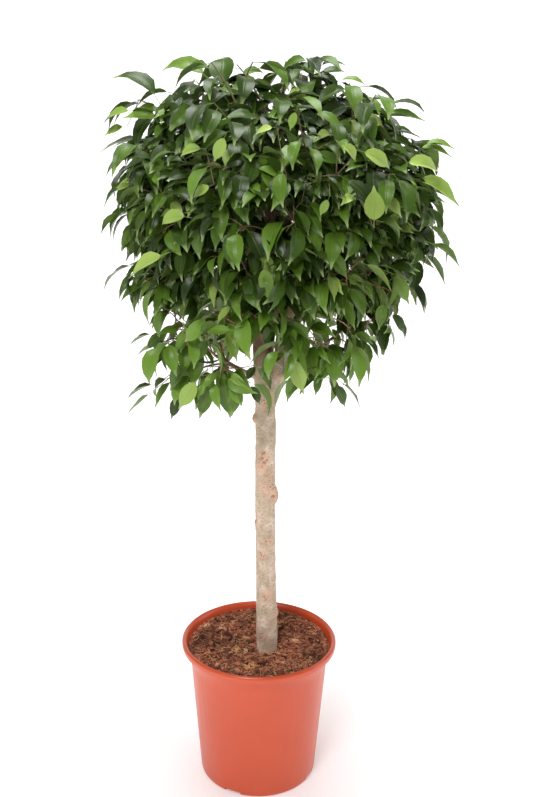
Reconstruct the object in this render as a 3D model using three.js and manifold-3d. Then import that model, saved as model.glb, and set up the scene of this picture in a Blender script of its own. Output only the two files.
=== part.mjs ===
import * as THREE from 'three';
import { mergeVertices } from 'three/addons/utils/BufferGeometryUtils.js';
import Module from 'manifold-3d';

const wasm = await Module();
wasm.setup();

// A weeping fig grown as a standard: a bare trunk in a nursery pot, with a round leafy head.
// Millimetres, +Z up. The origin is the middle of the pot's foot, on the floor, and -Y is the front.

// Driving dimensions
const GAP = 0.3; // between two pieces that touch

const POT = {
  rimRadius: 120, rimTop: 225.5, mouthRadius: 112.6, neckRadius: 106, neckHeight: 190,
  footRadius: 91.2, footEdge: 5, wall: 2.3, floor: 2.5,
  recessInner: 30, recessOuter: 67, recessHeight: 6, recessSlope: 3, corner: 2, segments: 28,
  notches: 4, notchWidth: 26, notchHeight: 6, firstNotch: -115,
  drains: 4, drainRadius: 7, drainSides: 8, drainRing: 48, firstDrain: -70,
};
// The rolled rim, from its foot outside, over its edge, and down inside: heights below its top
const RIM = { foot: 12.5, under: 10, edge: 4.5, mouth: 3, inside: 11.5, tuck: 1.2, round: 3.6 };
const THROUGH = 30; // the length of a cutter that goes right through a wall or the floor

const SOIL = {
  top: 210, crown: 4, rough: 3.2, rings: [0.72, 0.38], backRise: 0.045, play: 0.1,
  holePlay: 0.4, holeDrop: 0.5, holeRise: 14,
};

const TRUNK = {
  sides: 9, steps: 13,
  path: [[12.5, -12, 95], [12.5, -12, 210], [9.8, -10, 330], [7, -5, 470], [6.5, 0, 590], [-1, 1, 680],
    [-4, 4, 750], [4, 8, 840], [16, 6, 930], [20, 2, 1000]],
  radii: [16.6, 16.6, 15.6, 15, 15.4, 11.6, 10, 7.5, 5, 3],
  leafyFrom: 0.7,
};

// Each limb leaves the trunk inside the head: its path, and its radius at both ends
const LIMBS = [
  { path: [[9, 0, 598], [25, -4, 655], [36, -12, 740], [86, -27, 828], [124, -30, 910]], radii: [11, 10, 7, 3.2] },
  { path: [[3, 1, 690], [-26, -6, 738], [-68, -16, 790], [-106, -22, 860]], radii: [8, 3] },
  { path: [[6, 2, 640], [14, 32, 706], [30, 72, 790], [42, 108, 880]], radii: [8.5, 3] },
  { path: [[2, 0, 700], [6, -34, 758], [8, -74, 830], [12, -104, 905]], radii: [7.5, 3] },
  { path: [[0, 4, 748], [-26, 38, 805], [-56, 78, 880]], radii: [6.5, 2.8] },
  { path: [[32, -7, 692], [66, 26, 762], [106, 60, 845]], radii: [6.5, 2.8] },
  { path: [[2, 8, 800], [-28, -18, 875], [-56, -44, 950]], radii: [5.5, 2.6] },
  { path: [[10, 8, 870], [42, 28, 930], [70, 50, 990]], radii: [5, 2.6] },
  { path: [[6, 0, 640], [-26, -10, 656], [-66, -14, 680]], radii: [4.6, 2.4] },
  { path: [[14, -2, 640], [52, -24, 668], [90, -36, 704]], radii: [4.6, 2.4] },
];
const LIMB = { sides: 6, steps: 4 };
const WOOD_BEADS = 24; // places along the trunk and along each limb that a shoot can grow from

// Pruning scars and knots on the bare trunk: height, turn round it from +X, bulge and length
const KNOTS = [
  { height: 466, turn: -12, bulge: 9.5, length: 17 },
  { height: 581, turn: 184, bulge: 9.5, length: 9 },
  { height: 422, turn: -168, bulge: 6, length: 7 },
  { height: 272, turn: -12, bulge: 7.6, length: 11 },
  { height: 512, turn: -112, bulge: 6, length: 11 },
];
const KNOT_SINK = 5.9; // how far a knot's middle lies under the bark

// The leafy head: rings of leafy shoots from the top down. Each ring has its middle at x. Its
// shoots arch up by the rise and out to a reach and a height, and its leaves start at a slope.
const RINGS = [
  { shoots: 4, x: 8, reach: 56, height: 1080, start: 60, rise: 12, slope: 16, stagger: 4 },
  { shoots: 8, x: 8, reach: 122, height: 1052, start: 15, rise: 22, slope: 10, stagger: 12 },
  { shoots: 10, x: 12, reach: 180, height: 1000, start: 0, rise: 28, slope: -6, stagger: 24 },
  { shoots: 11, x: 23, reach: 206, height: 922, start: 14, rise: 30, slope: -20, stagger: 30 },
  { shoots: 10, x: 20, reach: 198, height: 834, start: 5, rise: 26, slope: -30, stagger: 34 },
  { shoots: 7, x: -6, reach: 166, height: 748, start: 10, rise: 20, slope: -38, stagger: 34 },
  { shoots: 4, x: -12, reach: 112, height: 694, start: 38, rise: 14, slope: -44, stagger: 16 },
];
const SHOOT = {
  radius: 2.8, sides: 4, steps: 3, arch: 0.16, riseShare: 0.4,
  reachSpread: 0.16, heightSpread: 30, turnSpread: 16, minStart: 13,
  bareStart: 0.34, beads: 24, room: 6.5, rootLength: 26, overBud: 20, overCost: 1.5, seed: 4,
};
const LEAF = {
  length: 56, lengthSpread: 9, width: 26.5, broadAt: 0.37, narrowAt: 0.73, narrowShare: 0.54, keel: 2,
  petiole: 13, petioleHalf: 0.65, petioleKeel: 1.2, petioleSlope: 0.35,
  bend: 74, bendPower: 1.3, steepest: -88, spacing: 13.55, sideAngle: 54, outward: 0.25,
  sidesEnd: 0.97, tipAt: 0.99, swaySpread: 38, slopeSpread: 34, rollSpread: 56, bendSpread: 30,
};
// How a leaf that would cross another piece is swayed, drooped and levelled at each further try
const BEND_CLEAR = { tries: 5, sway: 13, droop: 6, level: 0.2, clearance: 0.5 };

// Small helpers
const rad = THREE.MathUtils.degToRad;
const vec = (x, y, z) => new THREE.Vector3(x, y, z);
const fromList = (p) => vec(p[0], p[1], p[2]);
const UP = vec(0, 0, 1);

// A repeatable number from 0 to 1 for up to four whole keys
function chance(a, b = 0, c = 0, d = 0) {
  const s = Math.sin(a * 12.9898 + b * 78.233 + c * 37.719 + d * 9.151 + SHOOT.seed) * 43758.5453;
  return s - Math.floor(s);
}

function solidOf(geometry) {
  const bare = geometry.clone();
  bare.deleteAttribute('normal');
  bare.deleteAttribute('uv');
  const merged = mergeVertices(bare, 1e-4);
  return new wasm.Manifold(new wasm.Mesh({
    numProp: 3,
    vertProperties: new Float32Array(merged.attributes.position.array),
    triVerts: new Uint32Array(merged.index.array),
  }));
}

function geometryOf(solid) {
  const mesh = solid.getMesh();
  const geometry = new THREE.BufferGeometry();
  geometry.setAttribute('position', new THREE.BufferAttribute(mesh.vertProperties, 3));
  geometry.setIndex(new THREE.BufferAttribute(mesh.triVerts, 1));
  geometry.computeVertexNormals();
  return geometry;
}

// A profile of radius and height pairs, from axis to axis, turned about Z
function turned(profile, segments) {
  const geometry = new THREE.LatheGeometry(profile.map(([r, z]) => new THREE.Vector2(r, z)), segments);
  return geometry.rotateX(Math.PI / 2);
}

// A round stem along a path: a cylinder whose rings are set along it, with a radius for each
function stem(path, radiusAt, sides, steps) {
  const firstCorner = sides === 4 ? Math.PI / 4 : 0; // a four-sided shoot has a flat to each side
  const geometry = new THREE.CylinderGeometry(1, 1, 1, sides, steps, false, firstCorner);
  const chord = path.getPoint(1).sub(path.getPoint(0));
  const level = Math.hypot(chord.x, chord.y) > 0.3 * chord.length();
  const aside = level ? chord.clone().cross(UP).normalize() : vec(1, 0, 0);
  const position = geometry.attributes.position;
  for (let i = 0; i < position.count; i++) {
    const t = position.getY(i) + 0.5;
    const along = path.getTangent(t);
    const across = aside.clone().addScaledVector(along, -aside.dot(along)).normalize();
    const third = along.clone().cross(across);
    const radius = radiusAt(t);
    const place = path.getPoint(t)
      .addScaledVector(third, position.getX(i) * radius)
      .addScaledVector(across, position.getZ(i) * radius);
    position.setXYZ(i, place.x, place.y, place.z);
  }
  return geometry;
}

function curveThrough(points) {
  return new THREE.CatmullRomCurve3(points.map(fromList), false, 'catmullrom', 0.5);
}

// The radius at t along a path, from a list of radii spread evenly over it
function radiusAlong(radii, extra = 0) {
  return (t) => {
    const place = Math.min(t, 0.9999) * (radii.length - 1);
    const i = Math.floor(place);
    return THREE.MathUtils.lerp(radii[i], radii[i + 1], place - i) + extra;
  };
}

// Pot: a thin moulded wall with a rolled rim, a recessed underside, notches and drain holes
function potSolid() {
  const p = POT;
  const inner = (r) => r - p.wall;
  const profile = [
    [0, 0], [p.recessInner - p.recessSlope, 0],
    [p.recessInner, p.recessHeight], [p.recessOuter, p.recessHeight],
    [p.recessOuter + p.recessSlope, 0], [p.footRadius - p.footEdge, 0], [p.footRadius, p.footEdge],
    [p.neckRadius, p.neckHeight], [p.mouthRadius, p.rimTop - RIM.foot],
    [p.rimRadius - RIM.tuck, p.rimTop - RIM.under], [p.rimRadius, p.rimTop - RIM.edge],
    [p.rimRadius - RIM.round, p.rimTop], [p.mouthRadius, p.rimTop - RIM.mouth],
    [inner(p.mouthRadius), p.rimTop - RIM.inside], [inner(p.neckRadius), p.neckHeight],
    [inner(p.footRadius), p.recessHeight + p.floor + p.corner], [0, p.recessHeight + p.floor],
  ];
  let pot = solidOf(turned(profile, p.segments));
  for (let i = 0; i < p.notches; i++) {
    const notch = new THREE.BoxGeometry(THROUGH, p.notchWidth, 2 * p.notchHeight);
    notch.translate(p.footRadius, 0, 0).rotateZ(rad(p.firstNotch + (i * 360) / p.notches));
    // the notch goes through the foot ring and stops under the floor
    pot = pot.subtract(solidOf(notch).subtract(solidOf(aboveFoot())));
  }
  for (let i = 0; i < p.drains; i++) {
    const drain = new THREE.CylinderGeometry(p.drainRadius, p.drainRadius, THROUGH, p.drainSides);
    drain.rotateX(Math.PI / 2).translate(p.drainRing, 0, 0);
    pot = pot.subtract(solidOf(drain.rotateZ(rad(p.firstDrain + (i * 360) / p.drains))));
  }
  return pot;
}

// The room over the foot that the notches leave alone
function aboveFoot() {
  const wide = 2 * POT.rimRadius;
  return new THREE.BoxGeometry(wide, wide, THROUGH).translate(0, 0, THROUGH / 2 + POT.recessHeight);
}

// Soil: a plug with a rough top that fills the pot, with a plain hole for the trunk's foot
function soilSolid() {
  const p = POT;
  const side = (r) => r - p.wall - GAP - SOIL.play;
  const floor = p.recessHeight + p.floor + p.corner + GAP;
  const edge = SOIL.top - SOIL.rough;
  const share = (edge - p.neckHeight) / (p.rimTop - RIM.inside - p.neckHeight);
  const topRadius = side(THREE.MathUtils.lerp(p.neckRadius, p.mouthRadius, share));
  const profile = [
    [0, floor], [side(p.footRadius), floor], [side(p.neckRadius), p.neckHeight], [topRadius, edge],
  ];
  for (const ring of SOIL.rings) profile.push([topRadius * ring, SOIL.top]);
  profile.push([0, SOIL.top + SOIL.crown]);
  const geometry = turned(profile, p.segments);
  const position = geometry.attributes.position;
  for (let i = 0; i < position.count; i++) {
    const [x, y, z] = [position.getX(i), position.getY(i), position.getZ(i)];
    const radius = Math.hypot(x, y);
    const within = radius > 1 && radius < topRadius - SOIL.rough;
    if (z < edge + SOIL.rough / 2 || !within) continue; // only the top's inner rings are rough
    const clod = chance(Math.round(x * 2), Math.round(y * 2)) - 0.5;
    const crowned = SOIL.crown * (1 - radius / topRadius) + SOIL.backRise * y;
    position.setZ(i, z + crowned + clod * 2 * SOIL.rough);
  }
  const foot = TRUNK.path.slice(0, 2).map(([x, y, z]) => [x, y, z - SOIL.holeDrop]);
  const hole = stem(curveThrough(foot), () => TRUNK.radii[0] + GAP + SOIL.holePlay, TRUNK.sides, 1);
  const upper = hole.clone().translate(0, 0, SOIL.holeRise); // opens the hole's top through the clods
  return solidOf(geometry).subtract(solidOf(hole)).subtract(solidOf(upper));
}

// Trunk: the bare stem with its knots and the limbs inside the head, grown as one piece
function trunkSolid(extra = 0) {
  const path = curveThrough(TRUNK.path);
  let solid = solidOf(stem(path, radiusAlong(TRUNK.radii, extra), TRUNK.sides, TRUNK.steps));
  for (const limb of LIMBS) {
    const radiusAt = radiusAlong(limb.radii, extra);
    solid = solid.add(solidOf(stem(curveThrough(limb.path), radiusAt, LIMB.sides, LIMB.steps)));
  }
  for (const knot of KNOTS) {
    const at = pointAtHeight(path, knot.height);
    const bump = new THREE.IcosahedronGeometry(1, 0).scale(knot.bulge, knot.bulge * 1.1, knot.length);
    bump.translate(TRUNK.radii[0] - KNOT_SINK, 0, 0).rotateZ(rad(knot.turn)).translate(at.x, at.y, at.z);
    if (!extra) solid = solid.add(solidOf(bump));
  }
  return solid;
}

function pointAtHeight(path, height) {
  let [low, high] = [0, 1];
  for (let i = 0; i < 30; i++) {
    const middle = (low + high) / 2;
    if (path.getPoint(middle).z < height) low = middle;
    else high = middle;
  }
  return path.getPoint(low);
}

// Points along the trunk's leafy top and the limbs, each with the radius of the wood there
function woodBeads() {
  const beads = [];
  for (const { path, radii } of [TRUNK, ...LIMBS]) {
    const curve = curveThrough(path);
    const radiusAt = radiusAlong(radii);
    for (let i = 0; i <= WOOD_BEADS; i++) {
      const t = i / WOOD_BEADS;
      beads.push({
        at: curve.getPoint(t),
        radius: radiusAt(t),
        bud: radii !== TRUNK.radii || t > TRUNK.leafyFrom,
      });
    }
  }
  return beads;
}

// Whether a shoot keeps its room from the wood, past its own root, and from the other shoots
function hasRoom(path, beads, lines) {
  const points = path.getPoints(SHOOT.beads);
  const free = points.filter((point) => point.distanceTo(points[0]) > SHOOT.rootLength);
  const nearWood = (point) => beads.some((bead) => bead.at.distanceTo(point) < bead.radius + SHOOT.room);
  const nearLine = (point) => lines.some((line) => line.points.some((p) => p.distanceTo(point) < SHOOT.room));
  return !free.some(nearWood) && !points.some(nearLine);
}

// The bare lines of all the shoots, ring by ring. Each arches out of the nearest bud that leaves
// it room, where a bud that lies over the shoot's tip counts as further away.
function shootLines() {
  const beads = woodBeads();
  const buds = beads.filter((bead) => bead.bud);
  const lines = [];
  RINGS.forEach((ring, r) => {
    for (let i = 0; i < ring.shoots; i++) {
      const key = r * 20 + i;
      const turn = rad(ring.start + (i * 360) / ring.shoots + SHOOT.turnSpread * (chance(key, 6) - 0.5));
      const reach = ring.reach * (1 + SHOOT.reachSpread * (chance(key, 1) - 0.5));
      const stagger = (i % 2 ? 1 : -1) * ring.stagger;
      const height = ring.height + stagger + SHOOT.heightSpread * (chance(key, 2) - 0.5);
      const tip = vec(ring.x + reach * Math.cos(turn), reach * Math.sin(turn), height);
      const over = (bud) => Math.max(0, bud.at.z - tip.z + SHOOT.overBud);
      const cost = (bud) => bud.at.distanceTo(tip) + SHOOT.overCost * over(bud);
      const apart = (bud) => lines.every((line) => line.start.distanceTo(bud.at) > SHOOT.minStart);
      const free = buds.filter(apart);
      const pathFrom = (bud) => {
        const rise = SHOOT.arch * bud.at.distanceTo(tip) + SHOOT.riseShare * ring.rise;
        const bow = bud.at.clone().lerp(tip, 0.5).addScaledVector(UP, rise);
        return new THREE.QuadraticBezierCurve3(bud.at, bow, tip);
      };
      free.sort((a, b) => cost(a) - cost(b));
      const bud = free.find((one) => hasRoom(pathFrom(one), beads, lines)) ?? free[0];
      const path = pathFrom(bud);
      lines.push({
        key, ring, path, start: bud.at, length: bud.at.distanceTo(tip),
        points: path.getPoints(SHOOT.beads), name: `shoot_${r + 1}_${i + 1}`,
      });
    }
  });
  return lines;
}

// The leaves along one shoot, on alternate sides, with a last one at its tip
function shootLeaves({ key, ring, length }, path) {
  const leaves = [];
  const count = Math.max(3, Math.round((length * (1 - SHOOT.bareStart)) / LEAF.spacing));
  for (let i = 0; i < count; i++) {
    const last = i === count - 1;
    const leafy = LEAF.sidesEnd - SHOOT.bareStart;
    const t = last ? LEAF.tipAt : SHOOT.bareStart + (leafy * (i + 0.4)) / (count - 1);
    const at = path.getPoint(t);
    const heading = path.getTangent(t);
    const side = i % 2 ? -1 : 1;
    const sway = rad(LEAF.swaySpread) * (chance(key, i, 11) - 0.5);
    const aside = last ? 0.5 * sway : rad(side * LEAF.sideAngle) + sway;
    const turn = Math.atan2(heading.y, heading.x) + aside;
    const out = Math.atan2(at.y, at.x - ring.x);
    const drawn = Math.atan2(Math.sin(out - turn), Math.cos(out - turn)) * LEAF.outward;
    leaves.push({
      at,
      turn: turn + drawn,
      slope: rad(ring.slope + LEAF.slopeSpread * (chance(key, i, 12) - 0.5)),
      length: LEAF.length + LEAF.lengthSpread * 2 * (chance(key, i, 13) - 0.5),
      roll: rad(LEAF.rollSpread * (chance(key, i, 14) - 0.5)),
      bend: rad(LEAF.bend + LEAF.bendSpread * (chance(key, i, 15) - 0.5)),
    });
  }
  return leaves;
}

// A blade: a three-sided cone whose rings are set along an arching midrib. Its petiole starts
// in the shoot, its underside is keeled along the midrib, and its long tip hangs down.
function blade(leaf, grow = 0) {
  const half = (LEAF.width * leaf.length) / LEAF.length / 2;
  const stations = [
    { along: 0, half: LEAF.petioleHalf, keel: LEAF.petioleKeel },
    { along: LEAF.petiole, half: LEAF.petioleHalf, keel: LEAF.petioleKeel },
    { along: LEAF.petiole + LEAF.broadAt * leaf.length, half, keel: LEAF.keel },
    {
      along: LEAF.petiole + LEAF.narrowAt * leaf.length,
      half: half * LEAF.narrowShare,
      keel: LEAF.keel,
    },
    { along: LEAF.petiole + leaf.length, half: 0, keel: 0 },
  ];
  const ribs = midrib(leaf, stations.map((station) => station.along));
  const geometry = new THREE.CylinderGeometry(0, 1, 1, 3, stations.length - 1);
  const position = geometry.attributes.position;
  for (let i = 0; i < position.count; i++) {
    const ring = Math.round((position.getY(i) + 0.5) * (stations.length - 1));
    const { at, across, face } = ribs[ring];
    const station = stations[ring];
    const edge = Math.abs(position.getX(i)) > 0.1 ? -Math.sign(position.getX(i)) : 0;
    const under = position.getZ(i) > 0.1 ? 1 : 0;
    const wide = station.half > 0 ? station.half + grow : 0;
    const lift = station.keel / 3 + grow * Math.sign(station.keel); // the edges lie over the midrib
    const rise = lift * Math.abs(edge) - under * ((2 * station.keel) / 3 + grow);
    const point = at.clone().addScaledVector(across, edge * wide).addScaledVector(face, rise);
    position.setXYZ(i, point.x, point.y, point.z);
  }
  return geometry;
}

// The midrib's places along a leaf, each with the directions across the blade and out of its face
function midrib(leaf, alongs) {
  const total = alongs[alongs.length - 1];
  const level = vec(Math.cos(leaf.turn), Math.sin(leaf.turn), 0);
  const aside = vec(level.y, -level.x, 0);
  const slopeAt = (along) => {
    return Math.max(leaf.slope - leaf.bend * (along / total) ** LEAF.bendPower, rad(LEAF.steepest));
  };
  const place = leaf.at.clone();
  const ribs = alongs.map((along, i) => {
    if (i > 0) {
      const step = along - alongs[i - 1];
      const slope = slopeAt(along - step / 2) * (i > 1 ? 1 : LEAF.petioleSlope);
      place.addScaledVector(level, Math.cos(slope) * step).addScaledVector(UP, Math.sin(slope) * step);
    }
    const slope = slopeAt(along);
    const axis = level.clone().multiplyScalar(Math.cos(slope)).addScaledVector(UP, Math.sin(slope));
    const face = level.clone().multiplyScalar(-Math.sin(slope)).addScaledVector(UP, Math.cos(slope));
    return {
      at: place.clone(),
      across: aside.clone().applyAxisAngle(axis, leaf.roll),
      face: face.applyAxisAngle(axis, leaf.roll),
    };
  });
  ribs[0].across = ribs[1].across; // a straight petiole has flat sides
  ribs[0].face = ribs[1].face;
  return ribs;
}

// Triangles and bounds of a geometry, for the test of what stands clear
function facesOf(geometry) {
  const bare = geometry.clone();
  bare.deleteAttribute('normal');
  bare.deleteAttribute('uv');
  const merged = mergeVertices(bare, 1e-4);
  const position = merged.attributes.position;
  const point = (i) => vec(position.getX(i), position.getY(i), position.getZ(i));
  const index = merged.index.array;
  const faces = [];
  for (let i = 0; i < index.length; i += 3) {
    const corners = [point(index[i]), point(index[i + 1]), point(index[i + 2])];
    faces.push({ corners, box: new THREE.Box3().setFromPoints(corners) });
  }
  const box = new THREE.Box3();
  for (const face of faces) box.union(face.box);
  return { faces, box };
}

const ray = new THREE.Ray();
const hit = new THREE.Vector3();

function edgesPierce(a, b) {
  for (let i = 0; i < 3; i++) {
    const from = a.corners[i];
    const to = a.corners[(i + 1) % 3];
    const length = from.distanceTo(to);
    if (length < 1e-6) continue;
    ray.origin.copy(from);
    ray.direction.copy(to).sub(from).divideScalar(length);
    if (ray.intersectTriangle(...b.corners, false, hit) && hit.distanceTo(from) <= length) return true;
  }
  return false;
}

function crosses(a, b) {
  if (!a.box.intersectsBox(b.box)) return false;
  const near = b.faces.filter((face) => face.box.intersectsBox(a.box));
  for (const one of a.faces) {
    for (const other of near) {
      if (!one.box.intersectsBox(other.box)) continue;
      if (edgesPierce(one, other) || edgesPierce(other, one)) return true;
    }
  }
  return false;
}

// Each leaf is swayed and drooped a little more until it stands clear, or else left out
function bentClear(leaf, attempt) {
  const sway = attempt * (attempt % 2 ? 1 : -1);
  return {
    ...leaf,
    turn: leaf.turn + rad(BEND_CLEAR.sway) * sway,
    slope: leaf.slope - rad(BEND_CLEAR.droop) * attempt,
    roll: leaf.roll * (1 - BEND_CLEAR.level * attempt),
  };
}

// The leafy shoots: all their stems first, so that every leaf stands clear of all of them
function shootSolids() {
  const wideTrunk = trunkSolid(GAP);
  const wood = facesOf(geometryOf(wideTrunk));
  const shoots = [];
  for (const line of shootLines()) {
    const geometry = stem(line.path, () => SHOOT.radius, SHOOT.sides, SHOOT.steps);
    shoots.push({ ...line, geometry, faces: facesOf(geometry), blades: [] });
  }
  const placed = [];
  for (const shoot of shoots) {
    const others = shoots.filter((other) => other !== shoot);
    for (const leaf of shootLeaves(shoot, shoot.path)) {
      for (let attempt = 0; attempt < BEND_CLEAR.tries; attempt++) {
        const tried = bentClear(leaf, attempt);
        const wide = facesOf(blade(tried, BEND_CLEAR.clearance));
        if (crosses(wide, wood) || others.some((other) => crosses(wide, other.faces))) continue;
        if (placed.some((body) => crosses(wide, body))) continue;
        const geometry = blade(tried);
        placed.push(facesOf(geometry));
        shoot.blades.push(geometry);
        break;
      }
    }
  }
  return shoots.map((shoot) => {
    let solid = solidOf(shoot.geometry).subtract(wideTrunk);
    for (const geometry of shoot.blades) solid = solid.add(solidOf(geometry));
    const bodies = solid.decompose().sort((a, b) => b.volume() - a.volume());
    return { name: shoot.name, solid: bodies[0] }; // without the scraps of a cut
  });
}

const group = new THREE.Group();

function addPiece(name, solid, color, roughness) {
  const material = new THREE.MeshStandardMaterial({ color, roughness, metalness: 0 });
  const mesh = new THREE.Mesh(geometryOf(solid), material);
  mesh.name = name;
  group.add(mesh);
}

addPiece('pot', potSolid(), '#d5634a', 0.45);
addPiece('soil', soilSolid(), '#4b3226', 0.95);
addPiece('trunk', trunkSolid(), '#a4917a', 0.85);
for (const { name, solid } of shootSolids()) addPiece(name, solid, '#2f6427', 0.4);

export default group;
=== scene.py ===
import math
import random
from functools import partial

import bpy
from mathutils import Matrix, Vector, noise
from mathutils.kdtree import KDTree


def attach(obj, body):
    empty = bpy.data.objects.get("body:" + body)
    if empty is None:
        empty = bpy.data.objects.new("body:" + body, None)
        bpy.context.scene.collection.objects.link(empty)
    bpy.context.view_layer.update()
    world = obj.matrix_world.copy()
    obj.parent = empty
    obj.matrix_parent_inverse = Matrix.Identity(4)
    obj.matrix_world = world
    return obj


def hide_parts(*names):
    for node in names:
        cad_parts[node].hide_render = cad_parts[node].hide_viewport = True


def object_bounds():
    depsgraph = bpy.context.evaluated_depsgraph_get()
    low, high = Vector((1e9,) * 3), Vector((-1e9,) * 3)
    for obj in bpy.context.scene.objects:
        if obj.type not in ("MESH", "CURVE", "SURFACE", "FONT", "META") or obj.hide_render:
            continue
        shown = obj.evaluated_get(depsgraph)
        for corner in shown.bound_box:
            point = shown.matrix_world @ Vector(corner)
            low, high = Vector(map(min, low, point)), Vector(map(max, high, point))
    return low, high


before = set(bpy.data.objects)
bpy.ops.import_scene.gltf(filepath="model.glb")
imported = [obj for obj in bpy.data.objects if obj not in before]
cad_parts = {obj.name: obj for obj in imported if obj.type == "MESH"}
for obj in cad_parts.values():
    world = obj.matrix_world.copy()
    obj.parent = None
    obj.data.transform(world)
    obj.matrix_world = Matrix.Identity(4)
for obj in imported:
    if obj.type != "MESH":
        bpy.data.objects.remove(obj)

cadBox = [list(corner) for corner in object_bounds()]
mm = 0.001
up = Vector((0, 0, 1))
forColours = {"data_type": "RGBA"}      # a mix of colours, for the material nodes
tiny = 1e-5                             # metres: points this near are the same


# Small helpers

def linearColour(hexValue):
    channels = [int(hexValue[i:i + 2], 16) / 255 for i in (1, 3, 5)]
    return tuple(c / 12.92 if c <= 0.04045 else ((c + 0.055) / 1.055) ** 2.4 for c in channels) + (1,)


def addNodeTo(tree, kind, settings=None, inputs=None):
    # a socket takes a number, a hex colour, a node for a link from its first output, or (node, output)
    node = tree.nodes.new("ShaderNode" + kind)
    for name, value in (settings or {}).items():
        if name == "stops":
            stops = node.color_ramp.elements
            stops.remove(stops[1])
            stops[0].position = value[0][0]
            stops[0].color = linearColour(value[0][1])
            for position, hexValue in value[1:]:
                stops.new(position).color = linearColour(hexValue)
        else:
            setattr(node, name, value)
    for name, value in (inputs or {}).items():
        socket = node.inputs[name]
        source, output = value[:2] if isinstance(value, tuple) else (value, 0)
        if isinstance(source, bpy.types.Node):
            tree.links.new(source.outputs[output], socket)
        else:
            socket.default_value = linearColour(value) if isinstance(value, str) else value
    return node


def span(fromLow, fromHigh, toLow, toHigh):
    # the ends of a mapped range, as socket values
    return {"From Min": fromLow, "From Max": fromHigh, "To Min": toLow, "To Max": toHigh}


def newMaterial(name):
    # an empty material, and addNode for it
    material = bpy.data.materials.new(name)
    material.use_nodes = True
    material.node_tree.nodes.clear()
    return material, partial(addNodeTo, material.node_tree)


def selectOnly(*pieces):
    bpy.ops.object.select_all(action="DESELECT")
    for piece in pieces:
        piece.select_set(True)
    bpy.context.view_layer.objects.active = pieces[0]


def newObject(name, data):
    piece = bpy.data.objects.new(name, data)
    bpy.context.collection.objects.link(piece)
    return piece


def startPiece(add, **settings):
    # a new mesh, with everything deselected first
    bpy.ops.object.select_all(action="DESELECT")
    add(**settings)
    return bpy.context.view_layer.objects.active


def editWhole(piece, edit, **settings):
    # one edit of a mesh with all of it selected
    selectOnly(piece)
    bpy.ops.object.mode_set(mode="EDIT")
    bpy.ops.mesh.select_all(action="SELECT")
    edit(**settings)
    bpy.ops.object.mode_set(mode="OBJECT")


def setMaterials(piece, *materials):
    piece.data.materials.clear()
    for material in materials:
        piece.data.materials.append(material)


def pickPoints(piece, test):
    # in edit mode, selects the points that pass the test
    bpy.ops.object.mode_set(mode="EDIT")
    bpy.ops.mesh.select_mode(type="VERT")
    bpy.ops.mesh.select_all(action="DESELECT")
    bpy.ops.object.mode_set(mode="OBJECT")
    for vertex in piece.data.vertices:
        vertex.select = test(vertex.co)
    bpy.ops.object.mode_set(mode="EDIT")


def applyPlace():
    bpy.ops.object.transform_apply(location=True, rotation=True, scale=True)


def applyModifiers(piece):
    selectOnly(piece)
    for modifier in list(piece.modifiers):
        bpy.ops.object.modifier_apply(modifier=modifier.name)


def joinPieces(name, pieces):
    selectOnly(*pieces)
    if len(pieces) > 1:
        bpy.ops.object.join()
    piece = bpy.context.view_layer.objects.active
    piece.name = name
    piece.data.name = name
    applyPlace()
    return piece


def facesOut(piece):
    editWhole(piece, bpy.ops.mesh.remove_doubles, threshold=tiny)
    editWhole(piece, bpy.ops.mesh.normals_make_consistent, inside=False)


def growRings(name, profile, sides):
    # a turned shape: a ring is extruded and scaled through (radius, height) pairs in mm, then closed
    piece = startPiece(bpy.ops.mesh.primitive_circle_add, vertices=sides,
                       radius=profile[0][0] * mm, location=(0, 0, profile[0][1] * mm))
    piece.name = name
    bpy.ops.object.mode_set(mode="EDIT")
    bpy.ops.mesh.select_all(action="SELECT")
    for (radius, height), (nextRadius, nextHeight) in zip(profile, profile[1:]):
        bpy.ops.mesh.extrude_region_move(
            TRANSFORM_OT_translate={"value": (0, 0, (nextHeight - height) * mm)})
        grow = nextRadius / radius
        bpy.ops.transform.resize(value=(grow, grow, 1), center_override=(0, 0, nextHeight * mm))
    bpy.ops.object.mode_set(mode="OBJECT")
    editWhole(piece, bpy.ops.mesh.fill_holes, sides=0)
    applyPlace()
    facesOut(piece)
    return piece


def tubesAlong(name, strands, roundness):
    # round stems: each strand is a list of (point, radius), in metres
    curve = bpy.data.curves.new(name, "CURVE")
    curve.dimensions = "3D"
    curve.bevel_depth = 1
    curve.bevel_resolution = roundness
    curve.use_fill_caps = True
    for strand in strands:
        spline = curve.splines.new("POLY")
        spline.points.add(len(strand) - 1)
        for point, (place, radius) in zip(spline.points, strand):
            point.co = (*place, 1)
            point.radius = radius
    selectOnly(newObject(name, curve))
    bpy.ops.object.convert(target="MESH")
    return bpy.context.view_layer.objects.active


def smoothEdges(piece, angle):
    selectOnly(piece)
    bpy.ops.object.shade_smooth_by_angle(angle=math.radians(angle))


# Camera, lights and floor

studio = {
    "cameraPlace": (0.0077, -1.3972, 1.0188),
    "pitch": 16.2,          # degrees below level
    "roll": 0.61,
    "focal": 1000.0,        # pixels
    "sensor": 36,           # mm along the longer side
    "frame": (533, 797),
    # softboxes: place, target, size and power
    "softboxes": {
        "softboxLeft": ((-2.0, 0.3, 1.1), (0, 0, 0.6), (0.7, 2.0), 3),
        "softboxRight": ((2.0, 0.3, 1.1), (0, 0, 0.6), (0.7, 2.0), 9),
        "softboxFront": ((-0.6, -1.8, 2.3), (0, 0, 0.7), (0.9, 0.7), 34),
        "softboxTop": ((0, 0.1, 2.6), (0, 0, 0.8), (1.2, 1.0), 38),
    },
    "white": "#ffffff", "roomLight": 0.32,
    "floorColour": "#f6f5f5", "floorSize": (8, 6), "sweepSteps": 8, "sweepStep": 0.24, "sweepRise": 3,
    "smoothBelow": 40,
}


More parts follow.
